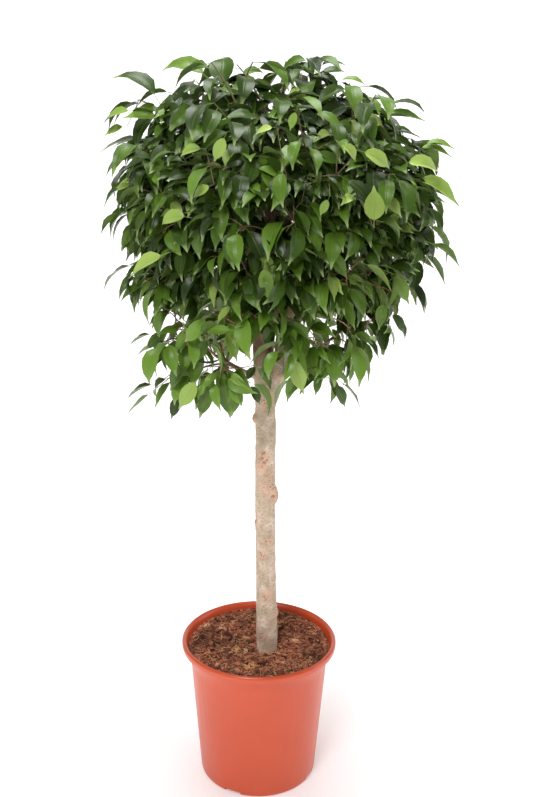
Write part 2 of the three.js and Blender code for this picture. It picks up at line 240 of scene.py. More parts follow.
def setCamera():
    view = bpy.data.cameras.new("photoView")
    view.sensor_width = studio["sensor"]
    view.lens = studio["sensor"] * studio["focal"] / studio["frame"][1]
    camera = newObject("photoView", view)
    turn = Matrix.Rotation(math.radians(90 - studio["pitch"]), 4, "X")
    turn = turn @ Matrix.Rotation(math.radians(studio["roll"]), 4, "Z")
    camera.matrix_world = Matrix.Translation(studio["cameraPlace"]) @ turn
    bpy.context.scene.camera = camera


def addSoftbox(name, place, target, size, power):
    lamp = bpy.data.lights.new(name, "AREA")
    lamp.shape = "RECTANGLE"
    lamp.size, lamp.size_y = size
    lamp.energy = power
    aim = (Vector(target) - Vector(place)).to_track_quat("-Z", "Y")
    newObject(name, lamp).matrix_world = Matrix.Translation(place) @ aim.to_matrix().to_4x4()


def makeStudio():
    bpy.context.scene.view_settings.view_transform = "Standard"  # white stays white
    setCamera()
    for name, settings in studio["softboxes"].items():
        addSoftbox(name, *settings)
    world = bpy.data.worlds.new("whiteRoom")
    world.use_nodes = True
    background = world.node_tree.nodes["Background"]
    background.inputs["Color"].default_value = linearColour(studio["white"])
    background.inputs["Strength"].default_value = studio["roomLight"]
    bpy.context.scene.world = world
    # a white paper sweep: level under the pot, then curved up behind
    sweep = startPiece(bpy.ops.mesh.primitive_plane_add, size=1, location=(0, 0, 0))
    sweep.name = "paperSweep"
    bpy.ops.transform.resize(value=(*studio["floorSize"], 1), center_override=(0, 0, 0))
    pickPoints(sweep, lambda point: point.y > 0)
    reach, steps = studio["sweepStep"], studio["sweepSteps"]
    for step in range(steps):
        bend = math.radians(90 / steps * (step + 0.5))
        bpy.ops.mesh.extrude_region_move(TRANSFORM_OT_translate={
            "value": (0, reach * math.cos(bend), reach * math.sin(bend))})
    bpy.ops.mesh.extrude_region_move(TRANSFORM_OT_translate={"value": (0, 0, studio["sweepRise"])})
    bpy.ops.object.mode_set(mode="OBJECT")
    applyPlace()
    smoothEdges(sweep, studio["smoothBelow"])
    material, addNode = newMaterial("whiteSweepPaper")
    place = addNode("TexCoord"), "Object"
    away = addNode("VectorMath", {"operation": "LENGTH"}, {0: place})
    # the paper glows as painted light, more with distance from the pot, so the floor round the pot is
    # darker: painted shade
    glow = addNode("MapRange", inputs={"Value": (away, "Value"), **span(0.1, 0.9, 0.2, 0.65)})
    shader = addNode("BsdfPrincipled", inputs={
        "Base Color": studio["floorColour"], "Roughness": 0.8, "Specular IOR Level": 0.2,
        "Emission Color": studio["white"], "Emission Strength": glow})
    addNode("OutputMaterial", inputs={"Surface": shader})
    setMaterials(sweep, material)


makeStudio()
print("studio: camera, four softboxes and a paper sweep")


# The pot: injection moulded polypropylene, a thin wall with a rolled rim

pot = {
    "sides": 128,
    "rimRadius": 120, "rimTop": 225.5, "mouthRadius": 112.6, "neckRadius": 106, "neckHeight": 190,
    "footRadius": 91.2, "wall": 2.3,
    "recessInner": 30, "recessOuter": 67, "recessHeight": 6,
    "notches": 4, "notchWidth": 26, "notchHeight": 6, "firstNotch": -115,
    "drains": 4, "drainRadius": 7, "drainRing": 48, "firstDrain": -70, "drainSides": 24,
    "cut": 30, "smoothBelow": 32,
    "colour": "#cf4919", "lightColour": "#d24e1d", "darkColour": "#ca4617",
}


def mouldedPlastic():
    # terracotta polypropylene: an even satin skin with faint drawn lines down the wall
    material, addNode = newMaterial("terracottaPolypropylene")
    place = addNode("TexCoord"), "Object"
    cloud = addNode("TexNoise", inputs={"Vector": place, "Scale": 9, "Detail": 3, "Roughness": 0.5})
    tint = addNode("ValToRGB", {
        "stops": [(0.3, pot["darkColour"]), (0.5, pot["colour"]), (0.72, pot["lightColour"])],
    }, {"Fac": cloud})
    drawn = addNode("Mapping", inputs={"Vector": place, "Scale": (160, 160, 4)})
    lines = addNode("TexNoise", inputs={"Vector": drawn, "Scale": 1, "Detail": 2})
    grain = addNode("TexNoise", inputs={"Vector": place, "Scale": 900, "Detail": 2})
    gloss = addNode("MapRange", inputs={"Value": lines, **span(0.3, 0.7, 0.3, 0.4)})
    lineBump = addNode("Bump", inputs={"Strength": 0.12, "Distance": 0.0004, "Height": lines})
    bump = addNode("Bump", inputs={
        "Strength": 0.12, "Distance": 0.0002, "Height": grain, "Normal": lineBump})
    shader = addNode("BsdfPrincipled", inputs={
        "Base Color": tint, "Roughness": gloss, "IOR": 1.49,
        "Specular IOR Level": 0.75, "Normal": bump})
    addNode("OutputMaterial", inputs={"Surface": shader})
    return material


def potProfile():
    # the section from the middle of the foot, up the wall, round the rim and down inside, as
    # steps from the named sizes
    p = pot
    inner = p["wall"]
    top = p["rimTop"]
    rim = p["rimRadius"]
    slope = (p["neckRadius"] - p["footRadius"]) / (p["neckHeight"] - 5)
    outside = [(p["footRadius"] + slope * (z - 5), z) for z in (5, 8, 60, 120, 180)]
    return [
        (0.5, 0), (p["recessInner"] - 3, 0), (p["recessInner"] - 0.5, p["recessHeight"] - 0.4),
        (p["recessInner"] + 0.5, p["recessHeight"]), (p["recessOuter"] - 0.5, p["recessHeight"]),
        (p["recessOuter"] + 0.5, p["recessHeight"] - 0.4), (p["recessOuter"] + 3, 0),
        (p["footRadius"] - 5.4, 0), (p["footRadius"] - 2.6, 0.5), (p["footRadius"] - 0.8, 2),
        *outside,
        (p["neckRadius"], p["neckHeight"]), (p["neckRadius"] + 1.4, 198), (p["mouthRadius"] - 1.6, 206),
        (p["mouthRadius"] + 0.2, 211.2), (p["mouthRadius"] + 0.8, 212.6),
        (rim - 3.4, 213.2), (rim - 1.8, 213.8), (rim - 0.9, 215), (rim - 0.25, 218), (rim, 221),
        (rim - 0.4, 223.2), (rim - 1.6, 224.8), (rim - 3.2, top), (rim - 5, 224.9),
        (p["mouthRadius"] + 0.5, 223.2), (p["mouthRadius"] - 1.1, 220), (p["mouthRadius"] - inner, 214),
        (p["mouthRadius"] - inner - 1.8, 206), (p["neckRadius"] + 1.4 - inner, 198),
        (p["neckRadius"] - inner, p["neckHeight"]), (p["footRadius"] - inner, 12.5),
        (p["footRadius"] - inner - 1, 9.9), (p["footRadius"] - inner - 4, 8.5), (0.5, 8.5),
    ]


def placesRound(count, first, radius):
    # turns and places spread evenly round the pot's axis
    for i in range(count):
        turn = math.radians(first + 360 / count * i)
        yield turn, (radius * mm * math.cos(turn), radius * mm * math.sin(turn), 0)


def makePot():
    shell = growRings("nurseryPot", potProfile(), pot["sides"])
    cutters = []
    for turn, place in placesRound(pot["notches"], pot["firstNotch"], pot["footRadius"]):
        cutter = startPiece(bpy.ops.mesh.primitive_cube_add, size=1, location=place)
        cutter.rotation_euler[2] = turn
        cutter.scale = (pot["cut"] * mm, pot["notchWidth"] * mm, 2 * pot["notchHeight"] * mm)
        cutters.append(cutter)
    for turn, place in placesRound(pot["drains"], pot["firstDrain"], pot["drainRing"]):
        cutters.append(startPiece(
            bpy.ops.mesh.primitive_cylinder_add, vertices=pot["drainSides"],
            radius=pot["drainRadius"] * mm, depth=pot["cut"] * mm, location=place))
    cutter = joinPieces("potCutters", cutters)
    cut = shell.modifiers.new("notches", "BOOLEAN")
    cut.operation = "DIFFERENCE"
    cut.solver = "EXACT"
    cut.object = cutter
    applyModifiers(shell)
    bpy.data.objects.remove(cutter)
    smoothEdges(shell, pot["smoothBelow"])
    setMaterials(shell, mouldedPlastic())
    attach(shell, "root")
    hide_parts("pot")


makePot()
print("pot: shell with a rolled rim, notches and drain holes")


# The soil: peat, coir and bark

soil = {
    "top": 213.5, "crown": 1, "backRise": 0.035, "sides": 180,
    # the pot's inner wall beside the soil's edge: height and radius, and the play between them
    "wall": [(198, 105.1), (206, 108.5), (214, 110.3), (224, 112.6)], "play": 0.4,
    # the plug below its surface: radius and height
    "plug": [(0.5, 10.8), (86, 10.8), (88.4, 13.2), (103, 190), (104.4, 198)],
    # low mounds and hollows: place, height and reach
    "mounds": [(52, 68, 7, 26), (-70, 40, 3, 30), (-14, 6, -6, 26), (64, -30, 3, 26)],
    "moundFade": 15, "ringStep": 1.9, "edgeRadius": 108, "sunk": 1.5, "roughOver": 3,
    # relief of the surface: size and strength
    "relief": {"soilHills": (30, 6), "soilClumps": (9, 8), "soilCrumbs": (3.2, 4)},
    # clumps: how many, how far out, how far from the trunk, and the sizes of small and large ones
    "seed": 11, "clumps": 620, "clumpForms": 6, "reach": 103, "widestReach": 105,
    "trunkPlace": (12.5, -12), "trunkRoom": 19,
    "small": (1.2, 3.2), "large": (2.5, 5), "smallShare": 0.75, "paleShare": 0.03,
    "clumpSides": ((0.9, 1.9), (0.6, 1), (0.3, 0.7)), "clumpRough": 0.35, "clumpSwell": 0.6,
    "clumpTurn": 6.28, "clumpTilt": 0.4, "clumpSink": 0.5, "clumpPlay": (-1, 1.5),
    "toneFrom": 0.03, "toneSpread": 0.8, "tonePower": 1.2, "paleTone": 0.17,
    # strands of coir and peat: how many, the tone of each kind, and the longest in mm
    "fibres": [(300, 0.04, 16), (380, 0.4, 15), (420, 0.68, 15), (240, 0.88, 20), (60, 0.99, 9)],
    "fibreReach": 104, "fibreEnd": 106, "fibreShare": (0.25, 1), "fibreThick": (0.22, 0.5),
    "fibreRise": (-0.5, 3.5), "fibreAbove": 0.6, "fibrePlay": (-0.4, 0.8), "fibreTurn": 0.5,
    "fibreSteps": 4,
    # tufts of straw: their places, how wide, how many straws of what length, higher and thicker
    "tufts": [(-11, -66), (-33, -23), (34, 52)], "tuftReach": 6, "straws": 16, "strawLength": 12,
    "strawTone": 0.99, "strawRise": 2, "strawThicker": 1.7,
    "darkColour": "#35190f", "midColour": "#9b5c44", "redColour": "#d38b69", "paleColour": "#efc297",
    "strawColour": "#f2bd80", "smoothBelow": 50,
}


def pottingSoil():
    # moist peat and bark: dark matt crumbs with reddish fibres and a few pale chips
    material, addNode = newMaterial("peatAndBark")
    place = addNode("TexCoord"), "Object"
    crumbs = addNode("TexNoise", inputs={
        "Vector": place, "Scale": 190, "Detail": 6, "Roughness": 0.7})
    moist = addNode("TexNoise", inputs={"Vector": place, "Scale": 26, "Detail": 3})
    damp = addNode("MapRange", inputs={"Value": moist, **span(0.38, 0.6, 0.42, 1)})
    tint = addNode("ValToRGB", {"stops": [
        (0.36, soil["darkColour"]), (0.47, soil["midColour"]), (0.58, soil["redColour"]),
        (0.7, soil["paleColour"])]}, {"Fac": crumbs})
    look = addNode("Attribute", {"attribute_name": "chipTone"})
    chip = addNode("ValToRGB", {"stops": [
        (0.0, soil["darkColour"]), (0.35, soil["midColour"]), (0.7, soil["redColour"]),
        (0.9, soil["paleColour"]), (1.0, soil["strawColour"])]}, {"Fac": (look, "Fac")})
    isChip = addNode("Math", {"operation": "GREATER_THAN"}, {0: (look, "Fac"), 1: 0.01})
    shown = addNode("Mix", forColours, {0: isChip, 6: tint, 7: chip})
    isStraw = addNode("Math", {"operation": "GREATER_THAN"}, {0: (look, "Fac"), 1: 0.95})
    dry = addNode("Math", {"operation": "MAXIMUM"}, {0: damp, 1: isStraw})
    dampened = addNode("Mix", forColours, {0: dry, 6: soil["darkColour"], 7: (shown, 2)})
    bump = addNode("Bump", inputs={"Strength": 0.8, "Distance": 0.0015, "Height": crumbs})
    shader = addNode("BsdfPrincipled", inputs={
        "Base Color": (dampened, 2), "Roughness": 0.9, "Specular IOR Level": 0.25,
        "Normal": bump})
    addNode("OutputMaterial", inputs={"Surface": shader})
    return material


def displace(piece, name, size, strength, group=""):
    texture = bpy.data.textures.new(name, "CLOUDS")
    texture.noise_scale = size * mm
    texture.noise_depth = 3
    relief = piece.modifiers.new(name, "DISPLACE")
    relief.texture = texture
    relief.strength = strength * mm
    relief.mid_level = 0.5
    relief.vertex_group = group
    relief.texture_coords = "LOCAL"


def soilHeight(x, y):
    radius = math.hypot(x, y)
    mounds = sum(high * math.exp(-((x - a) ** 2 + (y - b) ** 2) / reach ** 2)
                 for a, b, high, reach in soil["mounds"])
    return (soil["top"] + soil["crown"] * (1 - radius / soil["edgeRadius"]) + soil["backRise"] * y
            + mounds * min(1, (soil["edgeRadius"] - radius) / soil["moundFade"]))


def paintValue(mesh, name, value):
    layer = mesh.attributes.get(name) or mesh.attributes.new(name, "FLOAT", "POINT")
    layer.data.foreach_set("value", [value] * len(mesh.vertices))


def placeWithin(draw, reach):
    # a place spread evenly over a disc: its radius, then x and y
    radius, turn = reach * math.sqrt(draw.random()), draw.uniform(0, 2 * math.pi)
    return radius, radius * math.cos(turn), radius * math.sin(turn)


def soilStrand(draw, longest, tuft=None):
    # a crooked fibre that lies on the soil, with one end a little raised
    _, x, y = placeWithin(draw, soil["tuftReach"] if tuft else soil["fibreReach"])
    if tuft:
        x, y = x + tuft[0], y + tuft[1]
    heading, length = draw.uniform(0, 2 * math.pi), draw.uniform(*soil["fibreShare"]) * longest
    lift, thick = draw.uniform(*soil["fibreRise"]), draw.uniform(*soil["fibreThick"])
    if tuft:
        lift, thick = lift + soil["strawRise"], soil["strawThicker"] * thick
    strand, steps = [], soil["fibreSteps"]
    for step in range(steps + 1):
        rise = soil["fibreAbove"] + lift * (step / steps) ** 2
        z = soilHeight(x, y) + rise + draw.uniform(*soil["fibrePlay"])
        strand.append((Vector((x, y, z)) * mm, thick * mm))
        x += length / steps * math.cos(heading)
        y += length / steps * math.sin(heading)
        heading += draw.gauss(0, soil["fibreTurn"])
    return strand


def wallBeside(z):
    # the soil's radius against the pot's wall at a height, in mm
    low, high = next(pair for pair in zip(soil["wall"], soil["wall"][1:]) if z <= pair[1][0])
    return low[1] + (high[1] - low[1]) * (z - low[0]) / (high[0] - low[0]) - soil["play"]


def makeSoil():
    draw = random.Random(soil["seed"])
    edge = soil["edgeRadius"]
    rings = int(edge / soil["ringStep"])
    top = [(edge * (1 - i / rings) or 0.5, soil["top"]) for i in range(rings)] + [(0.5, soil["top"])]
    body = growRings("pottingSoil", [*soil["plug"], *top], soil["sides"])
    rough = body.vertex_groups.new(name="rough")
    for vertex in body.data.vertices:
        if vertex.co.z > (soil["top"] - 1) * mm:
            x, y = vertex.co.x / mm, vertex.co.y / mm
            vertex.co.z = soilHeight(x, y) * mm - soil["sunk"] * mm
            if math.hypot(x, y) > edge - 1:
                grow = wallBeside(vertex.co.z / mm) / edge
                vertex.co.x, vertex.co.y = x * grow * mm, y * grow * mm
            inside = min(1, (edge - math.hypot(x, y)) / soil["roughOver"])
            rough.add([vertex.index], max(0.0, inside), "REPLACE")
    for name, (size, strength) in soil["relief"].items():
        displace(body, name, size, strength, "rough")
    applyModifiers(body)
    paintValue(body.data, "chipTone", 0)
    forms = []
    for i in range(soil["clumpForms"]):
        form = startPiece(bpy.ops.mesh.primitive_ico_sphere_add, subdivisions=2, radius=1)
        editWhole(form, bpy.ops.transform.vertex_random, offset=soil["clumpRough"], seed=i + 1,
                  normal=soil["clumpSwell"])
        forms.append(form)
    pieces = [body]
    trunkX, trunkY = soil["trunkPlace"]
    for i in range(soil["clumps"]):
        radius, x, y = placeWithin(draw, soil["reach"])
        isSmall = draw.random() < soil["smallShare"]
        size = draw.uniform(*soil["small" if isSmall else "large"])
        shape = [size * draw.uniform(*spread) for spread in soil["clumpSides"]]
        nearTrunk = math.hypot(x - trunkX, y - trunkY) < soil["trunkRoom"]
        if nearTrunk or radius + shape[0] > soil["widestReach"]:
            continue
        mesh = forms[i % len(forms)].data.copy()
        turns = Matrix.Rotation(draw.uniform(0, soil["clumpTurn"]), 4, "Z")
        turns = turns @ Matrix.Rotation(draw.gauss(0, soil["clumpTilt"]), 4, "X")
        z = soilHeight(x, y) - soil["clumpSink"] + draw.uniform(*soil["clumpPlay"])
        place = Vector((x, y, z)) * mm
        sizes = Matrix.Diagonal([side * mm for side in shape] + [1])
        mesh.transform(Matrix.Translation(place) @ turns @ sizes)
        tone = soil["toneFrom"] + soil["toneSpread"] * draw.random() ** soil["tonePower"]
        tone += soil["paleTone"] if draw.random() < soil["paleShare"] else 0
        paintValue(mesh, "chipTone", tone)
        pieces.append(newObject("clump", mesh))
    for count, tone, longest in soil["fibres"]:
        strands = [soilStrand(draw, longest) for _ in range(count)]
        if tone == soil["strawTone"]:
            strands += [soilStrand(draw, soil["strawLength"], tuft) for tuft in soil["tufts"]
                        for _ in range(soil["straws"])]
        strands = [s for s in strands if math.hypot(*s[-1][0].xy) < soil["fibreEnd"] * mm]
        fibres = tubesAlong("fibres", strands, 0)
        paintValue(fibres.data, "chipTone", tone)
        pieces.append(fibres)
    body = joinPieces("pottingSoil", pieces)
    for form in forms:
        bpy.data.objects.remove(form)
    smoothEdges(body, soil["smoothBelow"])
    setMaterials(body, pottingSoil())
    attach(body, "root")
    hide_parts("soil")


makeSoil()
print("soil: rough plug with clumps and fibres")


# The trunk and limbs

wood = {
    "trunkPath": [(12.5, -12, 95), (12.5, -12, 210), (9.8, -10, 330), (7, -5, 470), (6.5, 0, 590),
                  (-1, 1, 680), (-4, 4, 750), (4, 8, 840), (16, 6, 930), (20, 2, 1000)],
    "trunkRadii": [16.6, 16.6, 15.6, 15, 15.4, 11.6, 10, 7.5, 5, 3],
    "limbs": [
        ([(9, 0, 598), (25, -4, 655), (36, -12, 740), (86, -27, 828), (124, -30, 910)],
         [11, 10, 7, 3.2]),
        ([(3, 1, 690), (-26, -6, 738), (-68, -16, 790), (-106, -22, 860)], [8, 3]),
        ([(6, 2, 640), (14, 32, 706), (30, 72, 790), (42, 108, 880)], [8.5, 3]),
        ([(2, 0, 700), (6, -34, 758), (8, -74, 830), (12, -104, 905)], [7.5, 3]),
        ([(0, 4, 748), (-26, 38, 805), (-56, 78, 880)], [6.5, 2.8]),
        ([(32, -7, 692), (66, 26, 762), (106, 60, 845)], [6.5, 2.8]),
        ([(2, 8, 800), (-28, -18, 875), (-56, -44, 950)], [5.5, 2.6]),
        ([(10, 8, 870), (42, 28, 930), (70, 50, 990)], [5, 2.6]),
        ([(6, 0, 640), (-26, -10, 656), (-66, -14, 680)], [4.6, 2.4]),
        ([(14, -2, 640), (52, -24, 668), (90, -36, 704)], [4.6, 2.4]),
    ],
    # pruning scars and knots: height, turn round the trunk from +X, bulge and length
    "knots": [(466, -12, 9.5, 17), (581, 184, 9.5, 9), (422, -168, 6, 7), (272, -12, 7.6, 11),
              (512, -112, 6, 11)],
    "knotSink": 5.9, "knotWide": 1.1, "knotScarOut": 4, "knotSegments": 20, "knotRings": 12,
    # dents where small limbs were, with painted shade in them: height, turn and depth
    "dents": [(465, -34, 3.6), (526, -112, 1.8), (519, -92, 1.6), (532, -100, 1.4), (424, -160, 1.2)],
    "dentAt": 1.08, "dentReach": 1.6, "dentRim": 2,
    # the painted shade in a dent, broken up by noise: base, amount and size
    "dentShadeBase": 1.1, "dentNoise": 1.6, "dentGrain": 2.2, "dentShade": 0.7,
    # flat healed scars in the bark: height, turn and length
    "scars": [(394, -84, 9), (372, -108, 8), (306, -78, 12), (524, -98, 13), (500, -60, 9),
              (486, -60, 22), (240, -120, 9), (612, -70, 18)],
    "beads": 24, "leafyFrom": 0.7,
    # steps along the trunk and a limb, the fused skin's grid and the rounds of smoothing
    "steps": 60, "limbSteps": 20, "roundness": 6, "searchSteps": 400, "voxel": 1.7, "rounds": 6,
    # relief of the bark: size and strength
    "relief": {"barkWaves": (30, 2.6), "barkGrain": (7, 0.9)},
    # a scar's colour: how far as a share of its length, the rim in mm, the full part and the fall
    "scarShare": 0.8, "scarRim": 3, "scarFull": 1.5, "scarFall": 1.3,
    # brown young wood, darker as painted shade under the head, starts at this height
    "youngFrom": 635, "youngOver": 50, "youngShade": 0.85,
    "barkColour": "#ccb59f", "paleBark": "#e6d5c4", "greenBark": "#b1a48a", "scarColour": "#dfb296",
    "speckColour": "#8a705a", "darkWoodAndShade": "#6e4c39", "smoothBelow": 60,
}


def alongPath(points, t):
    # the point at t on a uniform Catmull-Rom curve, in mm
    last = len(points) - 1
    i = min(int(t * last), last - 1)
    w = t * last - i
    p = [Vector(point) for point in points]
    before = p[i - 1] if i > 0 else 2 * p[0] - p[1]
    after = p[i + 2] if i + 2 <= last else 2 * p[last] - p[last - 1]
    a, b = p[i], p[i + 1]
    ta, tb = (b - before) / 2, (after - a) / 2
    return a + ta * w + (3 * (b - a) - 2 * ta - tb) * w ** 2 + (2 * (a - b) + ta + tb) * w ** 3


def radiusAlong(radii, t):
    place = min(t, 0.9999) * (len(radii) - 1)  # the end still lies in the last stretch
    i = int(place)
    return radii[i] + (radii[i + 1] - radii[i]) * (place - i)


def figBark():
    # smooth grey fig bark: fine level pores, a green tinge, pinkish healed scars, browner young wood
    # darkened as painted shade under the head, and painted shade in the dents
    material, addNode = newMaterial("greyFigBark")
    place = addNode("TexCoord"), "Object"
    ringed = addNode("Mapping", inputs={"Vector": place, "Scale": (260, 260, 420)})
    pores = addNode("TexNoise", inputs={
        "Vector": ringed, "Scale": 1, "Detail": 5, "Roughness": 0.7})
    patches = addNode("TexNoise", inputs={
        "Vector": place, "Scale": 48, "Detail": 5, "Roughness": 0.65})
    base = addNode("ValToRGB", {"stops": [
        (0.32, wood["greenBark"]), (0.5, wood["barkColour"]), (0.68, wood["paleBark"])]},
        {"Fac": patches})
    specks = addNode("MapRange", inputs={"Value": pores, **span(0.36, 0.5, 0.6, 0)})
    speckled = addNode("Mix", forColours, {0: specks, 6: base, 7: wood["speckColour"]})
    # a scar is pinkish, broken up by the patches, with darker specks in it
    scar = addNode("Attribute", {"attribute_name": "scar"})
    broken = addNode("MapRange", inputs={"Value": patches, **span(0.36, 0.56, 0.1, 0.85)})
    worn = addNode("Math", {"operation": "MULTIPLY"}, {0: (scar, "Fac"), 1: broken})
    pink = addNode("Mix", forColours, {0: worn, 6: (speckled, 2), 7: wood["scarColour"]})
    pits = addNode("MapRange", inputs={"Value": pores, **span(0.52, 0.6, 0, 0.75)})
    pitted = addNode("Math", {"operation": "MULTIPLY"}, {0: (scar, "Fac"), 1: pits})
    scarred = addNode("Mix", forColours, {0: pitted, 6: (pink, 2), 7: wood["darkWoodAndShade"]})
    # the brown of young wood with painted shade under the head, and the painted shade of the dents,
    # come in one attribute
    young = addNode("Attribute", {"attribute_name": "youngWood"})
    shown = addNode("Mix", forColours, {0: (young, "Fac"), 6: (scarred, 2), 7: wood["darkWoodAndShade"]})
    poreBump = addNode("Bump", inputs={"Strength": 0.45, "Distance": 0.0006, "Height": pores})
    bump = addNode("Bump", inputs={
        "Strength": 0.4, "Distance": 0.002, "Height": patches, "Normal": poreBump})
    shader = addNode("BsdfPrincipled", inputs={
        "Base Color": (shown, 2), "Roughness": 0.78, "Specular IOR Level": 0.3,
        "Normal": bump})
    addNode("OutputMaterial", inputs={"Surface": shader})
    return material


def onBark(height, turn, share):
    # a place on the trunk's skin, as a share of its radius, and the way out from there
    path, steps = wood["trunkPath"], wood["searchSteps"]
    t = next(i / steps for i in range(steps + 1) if alongPath(path, i / steps).z >= height)
    outward = Vector((math.cos(math.radians(turn)), math.sin(math.radians(turn)), 0))
    return alongPath(path, t) + outward * radiusAlong(wood["trunkRadii"], t) * share, outward


def makeTrunk():
    strands = []
    for path, radii, steps in [(wood["trunkPath"], wood["trunkRadii"], wood["steps"])] + [
            (path, radii, wood["limbSteps"]) for path, radii in wood["limbs"]]:
        strands.append([(alongPath(path, i / steps) * mm, radiusAlong(radii, i / steps) * mm)
                        for i in range(steps + 1)])
    pieces = [tubesAlong("barkedTrunk", strands, wood["roundness"])]
    scars = []
    for height, turn, bulge, length in wood["knots"]:
        axis, outward = onBark(height, turn, 0)
        middle = axis + outward * (wood["trunkRadii"][0] - wood["knotSink"])
        knot = startPiece(bpy.ops.mesh.primitive_uv_sphere_add, segments=wood["knotSegments"],
                          ring_count=wood["knotRings"], radius=1, location=middle * mm)
        knot.rotation_euler[2] = math.radians(turn)
        knot.scale = (bulge * mm, bulge * wood["knotWide"] * mm, length * mm)
        pieces.append(knot)
        scars.append((middle + outward * wood["knotScarOut"], length * wood["scarShare"]))
    for height, turn, length in wood["scars"]:
        scars.append((onBark(height, turn, 1)[0], length * wood["scarShare"]))
    trunk = joinPieces("barkedTrunk", pieces)
    fuse = trunk.modifiers.new("fuse", "REMESH")
    fuse.mode = "VOXEL"
    fuse.voxel_size = wood["voxel"] * mm
    soften = trunk.modifiers.new("soften", "SMOOTH")
    soften.iterations = wood["rounds"]
    for name, (size, strength) in wood["relief"].items():
        displace(trunk, name, size, strength)
    applyModifiers(trunk)
    paint = {"scar": [], "youngWood": []}
    rim = wood["dentRim"]
    dents = [(*onBark(height, turn, wood["dentAt"]), depth) for height, turn, depth in wood["dents"]]
    for vertex in trunk.data.vertices:
        for middle, outward, depth in dents:
            away = (vertex.co / mm - middle).length / (wood["dentReach"] * depth + rim)
            if away < 1:
                vertex.co -= outward * depth * (1 - away) * mm
        point = vertex.co / mm
        near = min((point - middle).length / (length + wood["scarRim"]) for middle, length in scars)
        paint["scar"].append(max(0.0, min(1.0, wood["scarFull"] - near * wood["scarFall"])))
        # painted shade in each dent, broken up by noise
        hollowShade = max(1 - (point - middle + outward * depth).length / (depth + rim)
                     for middle, outward, depth in dents)
        hollowShade *= wood["dentShadeBase"] + wood["dentNoise"] * noise.noise(point / wood["dentGrain"])
        # young wood above a height is brown, darker as painted shade under the head; the attribute
        # takes the greater of this and the dent's painted shade
        young = max(0.0, min(1.0, (point.z - wood["youngFrom"]) / wood["youngOver"]))
        paint["youngWood"].append(max(wood["youngShade"] * young, min(wood["dentShade"], hollowShade), 0.0))
    for name, values in paint.items():
        trunk.data.attributes.new(name, "FLOAT", "POINT").data.foreach_set("value", values)
    smoothEdges(trunk, wood["smoothBelow"])
    setMaterials(trunk, figBark())
    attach(trunk, "root")
    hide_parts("trunk")
    print("trunk:", len(trunk.data.polygons), "faces")


makeTrunk()


# The leaves: one flat blade is shaped from a grid, then folded, bent and twisted to the forms
# that are copied

leafShape = {
    "length": 52, "width": 23, "petiole": 12, "petioleRadius": 0.5, "rootedIn": 1.5,
    "thickness": 0.45, "upperColumns": 4, "lowerColumns": 2, "waves": 9, "waveShift": 2,
    "swellPower": 0.7, "foldPower": 0.8, "middleAt": 0.55, "weld": 0.00003, "holeSides": 8,
    "smoothBelow": 55,
    # share of the length and of the half width
    "outline": [(0.0, 0.1), (0.06, 0.47), (0.19, 0.86), (0.37, 1.0), (0.55, 0.88), (0.71, 0.57),
                (0.83, 0.24), (1.0, 0.07)],
    # bend and twist in degrees, how high the edges stand over the midrib, and their wave, in mm
    "forms": [(12, 8, 2.2, 0.9), (22, -22, 4.6, 1.4), (34, 16, 6.4, 0.8), (44, -10, 3.0, 1.6),
              (54, 24, 4.8, 1.0), (64, -16, 6.6, 1.4), (74, 12, 3.2, 1.0), (84, -26, 5.0, 1.6),
              (94, 14, 6.4, 1.0), (106, -12, 4.0, 1.2)],
    "darkGreen": "#1f2e0b", "midGreen": "#3a5315", "freshGreen": "#67892e", "limeGreen": "#a3ba5e",
    "veinGreen": "#6f8c3c", "tipGreen": "#93a86a", "underGreen": "#73894a", "petioleGreen": "#74893f",
    "darkPetiole": "#5f7631",
}
twigColours = {"dark": "#6b4632", "brown": "#9a6d54", "pores": "#c09a80", "fresh": "#5a5836"}


